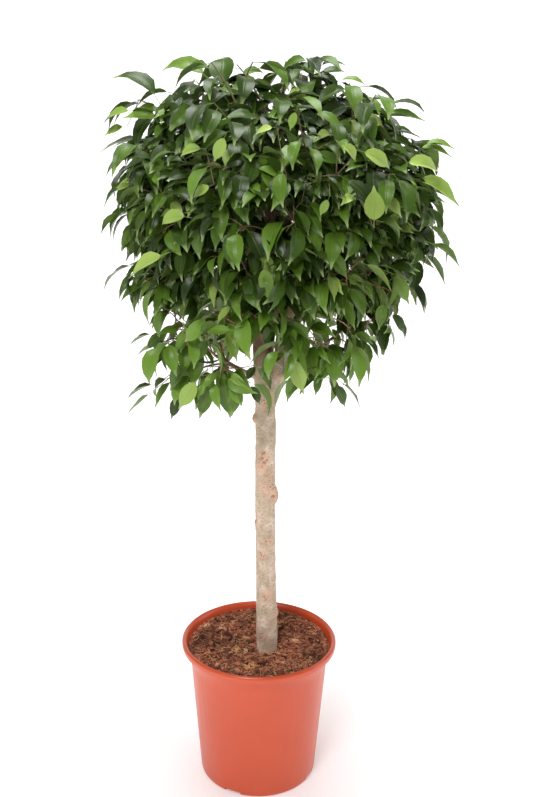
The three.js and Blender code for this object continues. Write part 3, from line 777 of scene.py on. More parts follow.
def figLeaf():
    # a waxy evergreen leaf: dark glossy skin, faint pale midrib and side veins, pale drip tip,
    # paler underside
    material, addNode = newMaterial("waxyFigLeaf")
    look = addNode("Attribute", {"attribute_name": "leafLook"})
    parts = addNode("SeparateXYZ", inputs={"Vector": (look, "Vector")})
    surface = addNode("UVMap", {"uv_map": "leafMap"})
    across = addNode("SeparateXYZ", inputs={"Vector": surface})
    place = addNode("TexCoord"), "Object"
    mottle = addNode("TexNoise", inputs={"Vector": place, "Scale": 55, "Detail": 3})
    # the leaf's tone, random and lighter low in the head as painted light from the floor, picks the
    # green
    spread = addNode("Math", {"operation": "MULTIPLY_ADD"}, {0: mottle, 1: 0.3, 2: (parts, "X")})
    green = addNode("ValToRGB", {"stops": [
        (0.15, leafShape["darkGreen"]), (0.65, leafShape["midGreen"]), (1.0, leafShape["freshGreen"])]},
        {"Fac": spread})
    aged = addNode("Mix", forColours, {0: (parts, "Y"), 6: green, 7: leafShape["limeGreen"]})
    # distance from the midrib, 0 to 0.5, and the side veins at a slant to it
    offset = addNode("Math", {"operation": "SUBTRACT"}, {0: (across, "X"), 1: 0.5})
    side = addNode("Math", {"operation": "ABSOLUTE"}, {0: offset})
    rib = addNode("MapRange", inputs={"Value": side, **span(0.015, 0.05, 1, 0)})
    slant = addNode("Math", {"operation": "MULTIPLY_ADD"}, {0: side, 1: -0.45, 2: (across, "Y")})
    count = addNode("Math", {"operation": "MULTIPLY"}, {0: slant, 1: 88.0})
    wave = addNode("Math", {"operation": "SINE"}, {0: count})
    ribbed = addNode("Math", {"operation": "MULTIPLY"}, {0: rib, 1: 0.22})
    veined = addNode("Mix", forColours, {0: ribbed, 6: (aged, 2), 7: leafShape["veinGreen"]})
    tip = addNode("MapRange", inputs={"Value": (across, "Y"), **span(0.78, 0.95, 0, 0.75)})
    tipped = addNode("Mix", forColours, {0: tip, 6: (veined, 2), 7: leafShape["tipGreen"]})
    under = addNode("Math", {"operation": "GREATER_THAN"}, {0: (across, "X"), 1: 1.5})
    shown = addNode("Mix", forColours, {0: under, 6: (tipped, 2), 7: leafShape["underGreen"]})
    gloss = addNode("MapRange", inputs={"Value": mottle, **span(0.3, 0.7, 0.26, 0.4)})
    height = addNode("Math", {"operation": "MULTIPLY_ADD"}, {0: wave, 1: 0.15, 2: rib})
    bump = addNode("Bump", inputs={"Strength": 0.35, "Distance": 0.0006, "Height": height})
    shader = addNode("BsdfPrincipled", inputs={
        "Base Color": (shown, 2), "Roughness": gloss, "IOR": 1.42,
        "Specular IOR Level": 0.38, "Normal": bump})
    addNode("OutputMaterial", inputs={"Surface": shader})
    return material


def greenStalk():
    # a thin fresh leaf stalk, yellower than the blade
    material, addNode = newMaterial("freshLeafStalk")
    place = addNode("TexCoord"), "Object"
    mottle = addNode("TexNoise", inputs={"Vector": place, "Scale": 220})
    tint = addNode("ValToRGB", {"stops": [
        (0.35, leafShape["darkPetiole"]), (0.65, leafShape["petioleGreen"])]}, {"Fac": mottle})
    shader = addNode("BsdfPrincipled", inputs={"Base Color": tint, "Roughness": 0.45})
    addNode("OutputMaterial", inputs={"Surface": shader})
    return material


def twigBark():
    # young fig twigs: thin reddish-brown bark with pale pores
    material, addNode = newMaterial("youngTwigBark")
    place = addNode("TexCoord"), "Object"
    pores = addNode("TexNoise", inputs={"Vector": place, "Scale": 320, "Detail": 4})
    tint = addNode("ValToRGB", {"stops": [
        (0.35, twigColours["dark"]), (0.55, twigColours["brown"]),
        (0.7, twigColours["pores"])]}, {"Fac": pores})
    parts = addNode("SeparateXYZ", inputs={"Vector": place})
    fresh = addNode("MapRange", inputs={"Value": (parts, "Z"), **span(0.76, 0.96, 0, 0.85)})
    shown = addNode("Mix", forColours, {0: fresh, 6: tint, 7: twigColours["fresh"]})
    bump = addNode("Bump", inputs={"Strength": 0.5, "Distance": 0.0004, "Height": pores})
    shader = addNode("BsdfPrincipled", inputs={
        "Base Color": (shown, 2), "Roughness": 0.65, "Normal": bump})
    addNode("OutputMaterial", inputs={"Surface": shader})
    return material


leafMaterials = [figLeaf(), greenStalk(), twigBark()]


def shapeBlade(columns, sink):
    # a grid along +Z with its face to -X; each row is set to the outline's place and width
    rows = leafShape["outline"]
    piece = startPiece(bpy.ops.mesh.primitive_grid_add, x_subdivisions=len(rows) - 1,
                       y_subdivisions=columns, size=1, rotation=(0, -math.pi / 2, 0))
    applyPlace()
    start = leafShape["petiole"] * mm
    length, half = leafShape["length"] * mm, leafShape["width"] / 2 * mm
    # the highest row first, so that no row passes another while they move
    for i in range(len(rows) - 1, -1, -1):
        level = -0.5 + i / (len(rows) - 1)
        share, wide = rows[i]
        # the points of this row, which haven't moved to +X yet
        pickPoints(piece, lambda point: abs(point.z - level) < 0.01 and abs(point.x) < 1e-4)
        bpy.ops.transform.resize(value=(1, wide * half * 2, 1), center_override=(0, 0, level))
        bpy.ops.transform.translate(value=(1, 0, start + share * length - level))
    bpy.ops.object.mode_set(mode="OBJECT")
    for vertex in piece.data.vertices:
        share = (vertex.co.z - start) / length
        sunk = sink * mm if abs(vertex.co.y) < tiny and 0.01 < share < 0.99 else 0
        vertex.co.x += sunk - 1
    return piece


def foldBlade(piece, fold, wave):
    # the edges stand over the midrib, each half is a little convex, and the edges wave
    start, length = leafShape["petiole"] * mm, leafShape["length"] * mm
    for vertex in piece.data.vertices:
        share = min(1, max(0, (vertex.co.z - start) / length))
        wide = abs(vertex.co.y) / (leafShape["width"] / 2 * mm)
        if vertex.co.z > start + tiny:
            swell = math.sin(math.pi * share ** leafShape["swellPower"])
            shift = leafShape["waveShift"] if vertex.co.y > 0 else 0
            sway = wave * math.sin(leafShape["waves"] * share + shift) * wide ** 2
            vertex.co.x -= (fold * wide ** leafShape["foldPower"] * swell + sway) * mm


def modelLeafForms():
    upper = shapeBlade(leafShape["upperColumns"], 0)
    lower = shapeBlade(leafShape["lowerColumns"], leafShape["thickness"])
    # the underside's map lies 2 further across, where the material shows it paler
    for piece, shift in ((upper, 0), (lower, 2)):
        layer = piece.data.uv_layers[0]
        layer.name = "leafMap"
        for loop in layer.data:
            along, aside = loop.uv
            loop.uv = (aside + shift, along)
    editWhole(lower, bpy.ops.mesh.flip_normals)
    stalk = leafShape["petiole"] + leafShape["rootedIn"]
    petiole = startPiece(bpy.ops.mesh.primitive_cylinder_add, vertices=3, depth=stalk * mm,
                         radius=leafShape["petioleRadius"] * mm, location=(0, 0, stalk / 2 * mm))
    petiole.data.uv_layers[0].name = "leafMap"
    for piece, material in ((upper, 0), (lower, 0), (petiole, 1)):
        setMaterials(piece, *leafMaterials[:2])
        for face in piece.data.polygons:
            face.material_index = material
    blade = joinPieces("leafBlade", [upper, lower])
    editWhole(blade, bpy.ops.mesh.remove_doubles, threshold=leafShape["weld"])
    editWhole(blade, bpy.ops.mesh.fill_holes, sides=leafShape["holeSides"])
    flat = joinPieces("leafFlat", [blade, petiole])
    forms = []
    for bend, twist, fold, wave in leafShape["forms"]:
        form = newObject("leafForm", flat.data.copy())
        foldBlade(form, fold, wave)
        selectOnly(form)
        for method, axis, angle in (("TWIST", "Z", twist), ("BEND", "Y", bend)):
            turn = form.modifiers.new(method.lower(), "SIMPLE_DEFORM")
            turn.deform_method = method
            turn.deform_axis = axis
            turn.angle = math.radians(angle)
        applyModifiers(form)
        smoothEdges(form, leafShape["smoothBelow"])
        points = [vertex.co for vertex in form.data.vertices]
        tip = max(points, key=lambda point: point.length).copy()
        reach = tip.length * leafShape["middleAt"]
        middle = min(points, key=lambda point: abs(point.length - reach)).copy()
        forms.append({"piece": form, "bend": bend, "tip": tip, "middle": middle})
    bpy.data.objects.remove(flat)
    return forms


leafForms = modelLeafForms()
print("leaf forms:", len(leafForms), "of", len(leafForms[0]["piece"].data.polygons), "faces")


# The head: the same shoots and leaf places as the solids, with twigs and more leaves between

crown = {
    # the rings from the top down: how many shoots, the ring's middle, reach and height, the first
    # turn, then rise, slope and stagger
    "ringParts": ("shoots", "x", "reach", "height", "start", "rise", "slope", "stagger"),
    "rings": [(4, 8, 56, 1080, 60, 12, 16, 4), (8, 8, 122, 1052, 15, 22, 10, 12),
              (10, 12, 180, 1000, 0, 28, -6, 24), (11, 23, 206, 922, 14, 30, -20, 30),
              (10, 20, 198, 834, 5, 26, -30, 34), (7, -6, 166, 748, 10, 20, -38, 34),
              (4, -12, 112, 694, 38, 14, -44, 16)],
    "seed": 4, "keyStep": 20, "arch": 0.16, "riseShare": 0.4,
    "reachSpread": 0.16, "heightSpread": 30, "turnSpread": 16,
    # where a shoot starts on the wood, and its room beside the wood and the other shoots
    "minStart": 13, "overBud": 20, "overCost": 1.5, "beads": 24, "room": 6.5, "rootLength": 26,
    # its leaves: the bare share, spacing, turns, slope, roll, bend and length
    "bareStart": 0.34, "spacing": 13.55, "firstGap": 0.4, "sideAngle": 54, "outward": 0.25,
    "sidesEnd": 0.97, "tipAt": 0.99, "swaySpread": 38, "slopeSpread": 34, "liftShare": 0.6,
    "rollSpread": 56, "bend": 74, "bendSpread": 30, "leafLength": 51, "lengthSpread": 16,
    "shootRadius": 2.1, "shootTaper": 0.6, "shootSteps": 12,
    # the head's middle, and rows of height and of its reach to the left and right from the front
    "middle": 6,
    "outline": [(1095, 20, 60), (1076, 72, 104), (1060, 94, 126), (1040, 124, 148), (1020, 160, 168),
                (1000, 186, 186), (970, 196, 232), (935, 230, 252), (900, 226, 262), (860, 220, 256),
                (820, 210, 256), (790, 212, 236), (760, 206, 212), (730, 196, 200), (700, 178, 192),
                (670, 176, 178), (640, 180, 145), (615, 196, 146), (590, 196, 60), (575, 120, 20)],
    "roof": 1078, "roofDrop": 50, "roofReach": 180, "foot": 618, "sideFrom": 640,
}

twigs = {
    # where twigs end: places are tried in this box, and kept this far apart and this deep inside
    "seed": 7, "tries": 70000, "tried": ((-240, 280), (-250, 265), (620, 1085)), "cell": 40,
    "gap": 18.5, "gapByDepth": 0.15, "widest": 34,
    "edge": 46, "ragged": 44, "clump": 48, "deepest": 210,
    # the open lower edge of the head, where it starts and is full, with wider gaps
    "lowFrom": 785, "lowTo": 660, "lowGap": 1.75, "lowDeepest": 84,
    # where the bare trunk is seen under the head: up to this height, this far beside it and behind
    "windowTop": 715, "windowMiddle": 2, "windowHalf": 30, "windowBack": 60,
    # a twig: its start among the points of a shoot or on earlier twigs, its length, bow and thickness
    "nodes": 20, "firstNode": 3, "nearest": 14, "joints": (0.5, 0.8),
    "dropCost": 0.6, "inwardCost": 0.9, "longest": 120, "shortest": 12, "bow": 0.16, "sag": 0.1,
    "radius": 0.62, "radiusByLength": 0.005, "taper": 0.5, "steps": 5,
    # its leaves: spacing, bare share, turns, lift, bend, size, roll and youth, some changed low down
    "leafSpacing": 9, "lowSpacing": 0.6, "leafless": 0.26, "lowLeafless": 0.4, "sidesEnd": 0.95,
    "firstGap": 0.3, "tipTurn": 25, "sideTurns": (30, 85), "outward": 0.58, "lowOutward": 0.7,
    "lift": 26, "liftFall": 54, "liftSpread": 20, "bends": (30, 106), "bendLimit": 104,
    "lengths": (33, 52), "widths": (0.84, 1.08), "lowNarrow": 0.14, "roll": 30, "lowRoll": 20,
    "youngShare": 0.06, "youngAtTip": 2.2, "youngBeside": 0.7, "youngLength": 0.85,
    "youth": (0.3, 0.9), "formChoice": 3, "toneShare": 0.76,
    # how far inside the head a leaf's middle and tip stay, the share of ragged tips, and how a leaf
    # that doesn't fit is tried again, lower and shorter
    "middleDepth": 8, "tipDepth": -4, "tipPlay": 26, "tipRagged": 40, "tipClump": 26,
    "raggedShare": 0.93, "attempts": 3, "droop": 10, "shrink": 0.92,
    # single leaves that stand out in the photo: where the stalk starts and where the tip ends, across
    # and down in pixels, then the depth behind the trunk's plane in mm, the arch and the roll towards
    # the camera in degrees, the tone, and the youth where it has any
    "accents": [
        # left side, from the top down
        (160, 104, 107, 79, -80, 84, 24, 0.3), (136, 110, 100, 130, -40, 54, 40, 0.8, 0.3),
        (127, 126, 104, 139, -20, 44, 45, 0.8, 0.8), (148, 139, 92, 145, -10, 44, 6, 0.3),
        (146, 141, 112, 148, 10, 44, 8, 0.4), (163, 116, 126, 120, -60, 94, 34, 0.6, 0.1),
        (163, 118, 120, 123, -60, 34, 50, 0.9, 0.15), (134, 158, 105, 178, -10, 64, 12, 0.6),
        (142, 182, 115, 193, -40, 34, 60, 0.8, 0.7), (146, 186, 103, 208, 0, 84, 8, 0.3),
        (134, 205, 110, 240, 0, 64, 20, 0.5), (139, 226, 123, 256, -30, 34, 60, 0.6),
        (158, 212, 124, 228, -70, 54, 40, 0.3), (170, 252, 129, 284, -155, 34, 42, 0.9, 0.85),
        (138, 265, 103, 292, -20, 74, 8, 0.3), (138, 272, 119, 303, -40, 44, 30, 0.5),
        (145, 284, 120, 306, -60, 34, 40, 0.6), (206, 149, 179, 162, -196, 64, 45, 0.9, 0.6),
        (192, 218, 158, 236, -186, 84, 50, 0.9, 0.6), (182, 115, 172, 135, -90, 44, 76, 0.8, 0.1),
        (133, 184, 116, 194, -60, 34, 60, 0.8, 0.7),
        # top, from the left
        (211, 81, 155, 75, -20, 84, 34, 0.7, 0.1), (239, 82, 270, 78, -5, 94, 40, 0.6),
        (251, 80, 233, 79, -5, 94, 10, 0.8, 0.2), (241, 86, 214, 92, -10, 74, 5, 0.2),
        (232, 106, 190, 97, -40, 94, 15, 0.3), (277, 93, 242, 92, -40, 54, 14, 0.7, 0.1),
        (303, 81, 267, 77, -10, 64, 10, 0.3), (312, 62, 272, 64, -10, 84, 30, 0.6),
        (316, 80, 290, 66, -20, 84, 40, 0.5), (317, 78, 349, 75, -20, 74, 34, 0.5),
        (317, 68, 348, 67, 0, 64, 24, 0.6), (337, 81, 367, 86, -20, 54, 14, 0.8, 0.1),
        (332, 98, 366, 99, -30, 34, 6, 0.2), (366, 101, 389, 101, -20, 34, 6, 0.3),
        (185, 101, 168, 103, -10, 34, 6, 0.2), (188, 108, 158, 114, -50, 54, 25, 0.8, 0.2),
        # right side, from the top down
        (385, 108, 426, 113, 0, 84, 14, 0.7), (375, 118, 427, 122, -10, 34, 10, 0.6),
        (386, 133, 424, 140, -20, 44, 10, 0.4), (420, 144, 456, 150, -30, 34, 14, 0.8, 0.15),
        (414, 148, 453, 158, -30, 34, 14, 0.8, 0.15), (409, 152, 440, 164, -20, 34, 12, 0.5),
        (399, 163, 444, 186, -120, 64, 50, 0.9, 0.75), (409, 176, 460, 209, -90, 34, 28, 0.9, 0.5),
        (384, 181, 407, 204, -130, 84, 44, 0.9, 0.1), (404, 184, 430, 216, -60, 44, 50, 0.2),
        (412, 198, 435, 232, -40, 44, 45, 0.4), (403, 208, 423, 237, -80, 44, 60, 0.35),
        (375, 227, 411, 211, -150, 74, 40, 0.8, 0.1), (379, 229, 422, 239, -110, 44, 24, 0.5),
        (426, 241, 461, 269, -110, 34, 10, 0.6), (419, 243, 433, 264, -60, 64, 30, 0.15),
        (422, 249, 446, 290, -50, 22, 36, 0.6), (408, 246, 407, 286, -90, 12, 80, 0.25),
        (421, 254, 415, 296, -70, 12, 76, 0.3), (390, 270, 405, 309, -120, 22, 76, 0.75, 0.1),
        (384, 298, 382, 331, -120, 12, 80, 0.7), (389, 311, 402, 337, -80, 34, 50, 0.4),
        # foot, on the left
        (172, 341, 135, 357, -40, 34, 6, 0.2), (155, 333, 128, 347, -20, 34, 6, 0.4),
        (168, 332, 147, 356, -60, 44, 50, 0.5), (177, 346, 155, 378, -80, 74, 50, 0.6),
        (194, 330, 176, 358, -110, 34, 50, 0.8), (210, 336, 199, 365, -130, 22, 62, 0.6),
        (224, 326, 233, 365, -140, 22, 64, 0.9, 0.25), (158, 383, 125, 401, -40, 34, 8, 0.3),
        (154, 390, 124, 418, -40, 12, 10, 0.8, 0.1), (171, 377, 157, 404, -60, 94, 30, 0.4),
        (190, 359, 174, 398, -100, 34, 60, 0.6), (183, 392, 173, 422, -70, 22, 56, 0.15),
        (200, 376, 183, 415, -120, 22, 75, 0.9, 0.6), (205, 383, 198, 411, -80, 22, 50, 0.2),
        (211, 379, 203, 421, -110, 12, 82, 0.6), (223, 376, 226, 420, -110, 12, 84, 0.6),
        (237, 383, 235, 418, -110, 12, 84, 0.7), (237, 369, 231, 388, -60, 34, 60, 0.9, 0.6),
        (258, 364, 249, 385, -90, 34, 70, 0.5), (249, 382, 257, 408, -80, 22, 70, 0.5),
        (223, 366, 214, 386, -90, 34, 70, 0.5), (282, 348, 266, 384, -150, 34, 60, 0.5),
        (279, 320, 267, 352, -150, 34, 60, 0.4), (292, 322, 284, 354, -140, 34, 60, 0.6),
        # foot, on the right
        (290, 352, 296, 399, -130, 22, 84, 0.9, 0.65), (311, 370, 299, 395, -90, 34, 60, 0.8, 0.35),
        (283, 324, 309, 381, -150, 12, 10, 0.8), (303, 353, 311, 379, -70, 34, 50, 0.2),
        (321, 349, 322, 376, -90, 22, 50, 0.5), (323, 371, 317, 397, -90, 22, 44, 0.6),
        (327, 351, 329, 375, -70, 64, 30, 0.4), (336, 353, 347, 381, -90, 64, 60, 0.8, 0.1),
        (326, 374, 335, 404, -80, 44, 50, 0.6), (332, 381, 341, 414, -80, 44, 56, 0.5),
        (338, 380, 361, 413, -60, 44, 8, 0.3), (355, 330, 351, 363, -90, 22, 70, 0.3),
        (359, 344, 364, 375, -50, 34, 40, 0.3), (360, 336, 379, 360, -40, 34, 20, 0.5),
        (365, 321, 378, 342, -60, 44, 50, 0.6), (388, 318, 386, 357, -60, 22, 40, 0.4),
        (393, 317, 405, 342, -30, 54, 20, 0.4), (262, 318, 271, 350, -130, 12, 70, 0.5),
        # leaves in the middle that catch the light
        (214, 184, 196, 207, -222, 54, 70, 0.9, 0.6), (297, 108, 296, 133, -214, 34, 84, 0.9, 0.3),
        (338, 141, 352, 171, -226, 64, 60, 0.9, 0.7), (357, 150, 389, 178, -208, 54, 56, 0.9, 0.7),
        (330, 196, 327, 220, -228, 44, 80, 0.8, 0.2), (227, 132, 224, 168, -222, 44, 84, 0.9, 0.55),
        (262, 262, 266, 304, -215, 12, 84, 0.7, 0.1), (277, 127, 254, 141, -232, 54, 50, 0.9, 0.95),
    ],
    # two leaves that stand up over the top and one in front: where the stalk starts, across and down
    # in pixels, the depth in mm, the heading, lift and arch in degrees, the length in mm, the width
    # as a share of its usual one, the tone and the youth
    "standing": [(222, 92, -20, 88, 92, 84, 53, 1.5, 0.45, 0),
                 (316, 72, -10, 80, 92, 106, 35, 1.6, 0.6, 0.1),
                 (374, 228, -214, 96, 84, 12, 40, 1.45, 0.6, 0.5)],
}


def chance(a, b=0, c=0):
    # the repeatable draws of the solids, from 0 to 1; the numbers after the first tell them apart
    s = math.sin(a * 12.9898 + b * 78.233 + c * 37.719 + crown["seed"]) * 43758.5453
    return s - math.floor(s)


def alongArch(arch, t):
    start, bow, end = arch
    return start * (1 - t) ** 2 + bow * 2 * t * (1 - t) + end * t ** 2


def headingOf(arch, t):
    start, bow, end = arch
    return ((bow - start) * (1 - t) + (end - bow) * t).normalized()


def woodBeads():
    # points along the wood with their radius, and whether a shoot may start there
    beads = []
    for path, radii in [(wood["trunkPath"], wood["trunkRadii"]), *wood["limbs"]]:
        for i in range(wood["beads"] + 1):
            t = i / wood["beads"]
            isBud = path is not wood["trunkPath"] or t > wood["leafyFrom"]
            beads.append((alongPath(path, t), radiusAlong(radii, t), isBud))
    return beads


def hasRoom(points, beads, lines):
    # whether a shoot keeps clear of the wood, past its own root, and of the other shoots
    free = [point for point in points if (point - points[0]).length > crown["rootLength"]]
    for at, radius, _ in beads:
        if any((point - at).length < radius + crown["room"] for point in free):
            return False
    return not any((point - other).length < crown["room"]
                   for line in lines for other in line["points"] for point in points)


def shootLines():
    # the shoots' arches, by the same rule as those of the solids
    beads = woodBeads()
    buds = [at for at, _, isBud in beads if isBud]
    lines = []
    for r, row in enumerate(crown["rings"]):
        ring = dict(zip(crown["ringParts"], row))
        for i in range(ring["shoots"]):
            key = r * crown["keyStep"] + i
            turn = math.radians(ring["start"] + i * 360 / ring["shoots"]
                                + crown["turnSpread"] * (chance(key, 6) - 0.5))
            reach = ring["reach"] * (1 + crown["reachSpread"] * (chance(key, 1) - 0.5))
            height = (ring["height"] + (1 if i % 2 else -1) * ring["stagger"]
                      + crown["heightSpread"] * (chance(key, 2) - 0.5))
            tip = Vector((ring["x"] + reach * math.cos(turn), reach * math.sin(turn), height))

            def cost(at):
                over = max(0, at.z - tip.z + crown["overBud"])
                return (at - tip).length + crown["overCost"] * over

            def archFrom(at):
                rise = crown["arch"] * (at - tip).length + crown["riseShare"] * ring["rise"]
                return at, (at + tip) / 2 + up * rise, tip

            free = [at for at in buds
                    if all((line["arch"][0] - at).length > crown["minStart"] for line in lines)]
            free.sort(key=cost)
            arch = archFrom(free[0])
            for at in free:
                tried = archFrom(at)
                points = [alongArch(tried, n / crown["beads"]) for n in range(crown["beads"] + 1)]
                if hasRoom(points, beads, lines):
                    arch = tried
                    break
            points = [alongArch(arch, n / crown["beads"]) for n in range(crown["beads"] + 1)]
            lines.append({
                "name": f"shoot_{r + 1}_{i + 1}", "key": key, "ring": ring, "arch": arch,
                "length": (arch[0] - tip).length, "points": points, "twigs": [], "leaves": []})
    return lines


def solidLeaves(line):
    # the leaves that the solids have too, on alternate sides with a last one at the tip
    ring, arch, key = line["ring"], line["arch"], line["key"]
    count = max(3, int(line["length"] * (1 - crown["bareStart"]) / crown["spacing"] + 0.5))
    leaves = []
    for i in range(count):
        last = i == count - 1
        t = crown["tipAt"] if last else (
            crown["bareStart"]
            + (crown["sidesEnd"] - crown["bareStart"]) * (i + crown["firstGap"]) / (count - 1))
        at = alongArch(arch, t)
        heading = headingOf(arch, t)
        sway = math.radians(crown["swaySpread"]) * (chance(key, i, 11) - 0.5)
        aside = 0.5 * sway if last else math.radians((-1 if i % 2 else 1) * crown["sideAngle"]) + sway
        turn = math.atan2(heading.y, heading.x) + aside
        out = math.atan2(at.y, at.x - ring["x"])
        turn += math.atan2(math.sin(out - turn), math.cos(out - turn)) * crown["outward"]
        slope = math.radians(ring["slope"] + crown["slopeSpread"] * (chance(key, i, 12) - 0.5))
        leaves.append({
            "at": at, "turn": turn, "kept": True, "lift": crown["liftShare"] * slope,
            "length": crown["leafLength"] + crown["lengthSpread"] * (chance(key, i, 13) - 0.5),
            "roll": math.radians(crown["rollSpread"] * (chance(key, i, 14) - 0.5)),
            "bend": crown["bend"] + crown["bendSpread"] * (chance(key, i, 15) - 0.5),
        })
    return leaves


def outlineDepth(x, z, lean):
    # how far inside the head's side a place lies, where lean goes from -1 at the left to 1
    rows = crown["outline"]
    z = min(max(z, rows[-1][0]), rows[0][0])
    for (high, left, right), (low, nextLeft, nextRight) in zip(rows, rows[1:]):
        if z >= low:
            share = (high - z) / (high - low)
            left += (nextLeft - left) * share
            right += (nextRight - right) * share
            break
    return (left + right) / 2 + lean * (right - left) / 2 - x


def seenAt(point):
    # where a point shows on the plane of the trunk, from the camera: across and up, in mm
    eyeX, eyeY, eyeZ = (value / mm for value in studio["cameraPlace"])
    scale = -eyeY / (point.y - eyeY)
    return eyeX + (point.x - eyeX) * scale, eyeZ + (point.z - eyeZ) * scale


def lowness(point):
    # 0 in the dense head, rising to 1 in its open lower edge
    return max(0, min(1, (twigs["lowFrom"] - seenAt(point)[1]) / (twigs["lowFrom"] - twigs["lowTo"])))


def headDepth(point):
    # how deep inside the leafy head a point lies: from its side, roof and foot, and from the
    # outline that the photo's view shows on the plane of the trunk
    x = point.x - crown["middle"]
    radius = math.hypot(x, point.y)
    side = outlineDepth(radius, max(point.z, crown["sideFrom"]), x / max(radius, 1))
    roof = crown["roof"] - crown["roofDrop"] * (radius / crown["roofReach"]) ** 2 - point.z
    across, height = seenAt(point)
    seen = outlineDepth(abs(across), height, 1 if across > 0 else -1)
    return min(side, roof, seen, point.z - crown["foot"])


def twigPlaces(draw):
    # places for twig tips, spread evenly through the head's leafy shell and sparser low down
    places, cells = [], {}
    for _ in range(twigs["tries"]):
        point = Vector([draw.uniform(*ends) for ends in twigs["tried"]])
        depth = headDepth(point)
        low = lowness(point)
        edge = twigs["edge"] + twigs["ragged"] * noise.noise(point / twigs["clump"])
        if depth < edge or depth > twigs["deepest"] + (twigs["lowDeepest"] - twigs["deepest"]) * low:
            continue
        across, height = seenAt(point)
        beside = abs(across - twigs["windowMiddle"])
        if (height < twigs["windowTop"] and beside < twigs["windowHalf"]
                and point.y < twigs["windowBack"]):
            continue
        gap = min(twigs["widest"], twigs["gap"] + twigs["gapByDepth"] * (depth - edge))
        gap *= 1 + twigs["lowGap"] * low
        cell = [int(value // twigs["cell"]) for value in point]
        near = [other for i in (-1, 0, 1) for j in (-1, 0, 1) for k in (-1, 0, 1)
                for other in cells.get((cell[0] + i, cell[1] + j, cell[2] + k), [])]
        if all((point - other).length > gap for other in near):
            places.append(point)
            cells.setdefault(tuple(cell), []).append(point)
    return places


def atPixel(across, down, depth):
    # the point in mm where the camera's ray through a pixel meets the plane at that depth
    width, height = studio["frame"]
    camera = bpy.context.scene.camera.matrix_world
    ray = camera.to_3x3() @ Vector((across - width / 2, height / 2 - down, -studio["focal"]))
    eye = camera.translation / mm
    return eye + ray * ((depth - eye.y) / ray.y)


def accentLeaf(acrossStart, downStart, acrossTip, downTip, depth, bend, roll, tone, young=0):
    # an arc from the stalk's start to the tip, in a plane that faces the camera
    at, tip = atPixel(acrossStart, downStart, depth), atPixel(acrossTip, downTip, depth)
    toRight = tip.x > at.x
    half = math.radians(bend) / 2
    whole = (tip - at).length * half / math.sin(half)
    return {"at": at, "turn": 0 if toRight else math.pi, "bend": bend,
            "lift": math.atan2(tip.z - at.z, abs(tip.x - at.x)) + half,
            "roll": math.radians(roll if toRight else -roll),
            "length": whole / (1 + leafShape["petiole"] / leafShape["length"]),
            "tone": tone, "young": young, "wide": 1, "kept": False, "accent": True}


def standingLeaf(across, down, depth, turn, lift, bend, length, wide, tone, young):
    # a leaf that starts at a pixel and is turned by its own angles
    return {"at": atPixel(across, down, depth), "turn": math.radians(turn), "bend": bend,
            "lift": math.radians(lift), "roll": 0, "length": length, "tone": tone, "young": young,
            "wide": wide, "kept": False, "accent": True}


def growTwigs(lines, places, accents):
    # each twig grows to its place from the nearest shoot or earlier twig, out and up from inside
    nodes = [(alongArch(line["arch"], i / twigs["nodes"]), line)
             for line in lines for i in range(twigs["firstNode"], twigs["nodes"] + 1)]
    tree = KDTree(len(nodes))
    for i, (at, _) in enumerate(nodes):
        tree.insert(at, i)
    tree.balance()
    late = []
    for place in sorted(places, key=lambda point: tree.find(point)[2]):
        radius = math.hypot(place.x - crown["middle"], place.y)
        near = [nodes[i] for _, i, _ in tree.find_n(place, twigs["nearest"])]
        near += [node for node in late if (node[0] - place).length < twigs["longest"]]

        def cost(node):
            at = node[0]
            inward = math.hypot(at.x - crown["middle"], at.y) - radius
            return ((at - place).length + twigs["dropCost"] * max(0, at.z - place.z)
                    + twigs["inwardCost"] * max(0, inward))

        at, line = min(near, key=cost)
        length = (place - at).length
        if length > twigs["longest"] or length < twigs["shortest"]:
            continue
        path = (at, (at + place) / 2 + up * twigs["bow"] * length, place)
        line["twigs"].append(path)
        late += [(alongArch(path, s), line) for s in twigs["joints"]]
    for leaf in accents:
        at, line = min(nodes + late, key=lambda node: (node[0] - leaf["at"]).length)
        length = (leaf["at"] - at).length
        line["twigs"].append((at, (at + leaf["at"]) / 2 - up * twigs["sag"] * length, leaf["at"]))
        line["leaves"].append(leaf)


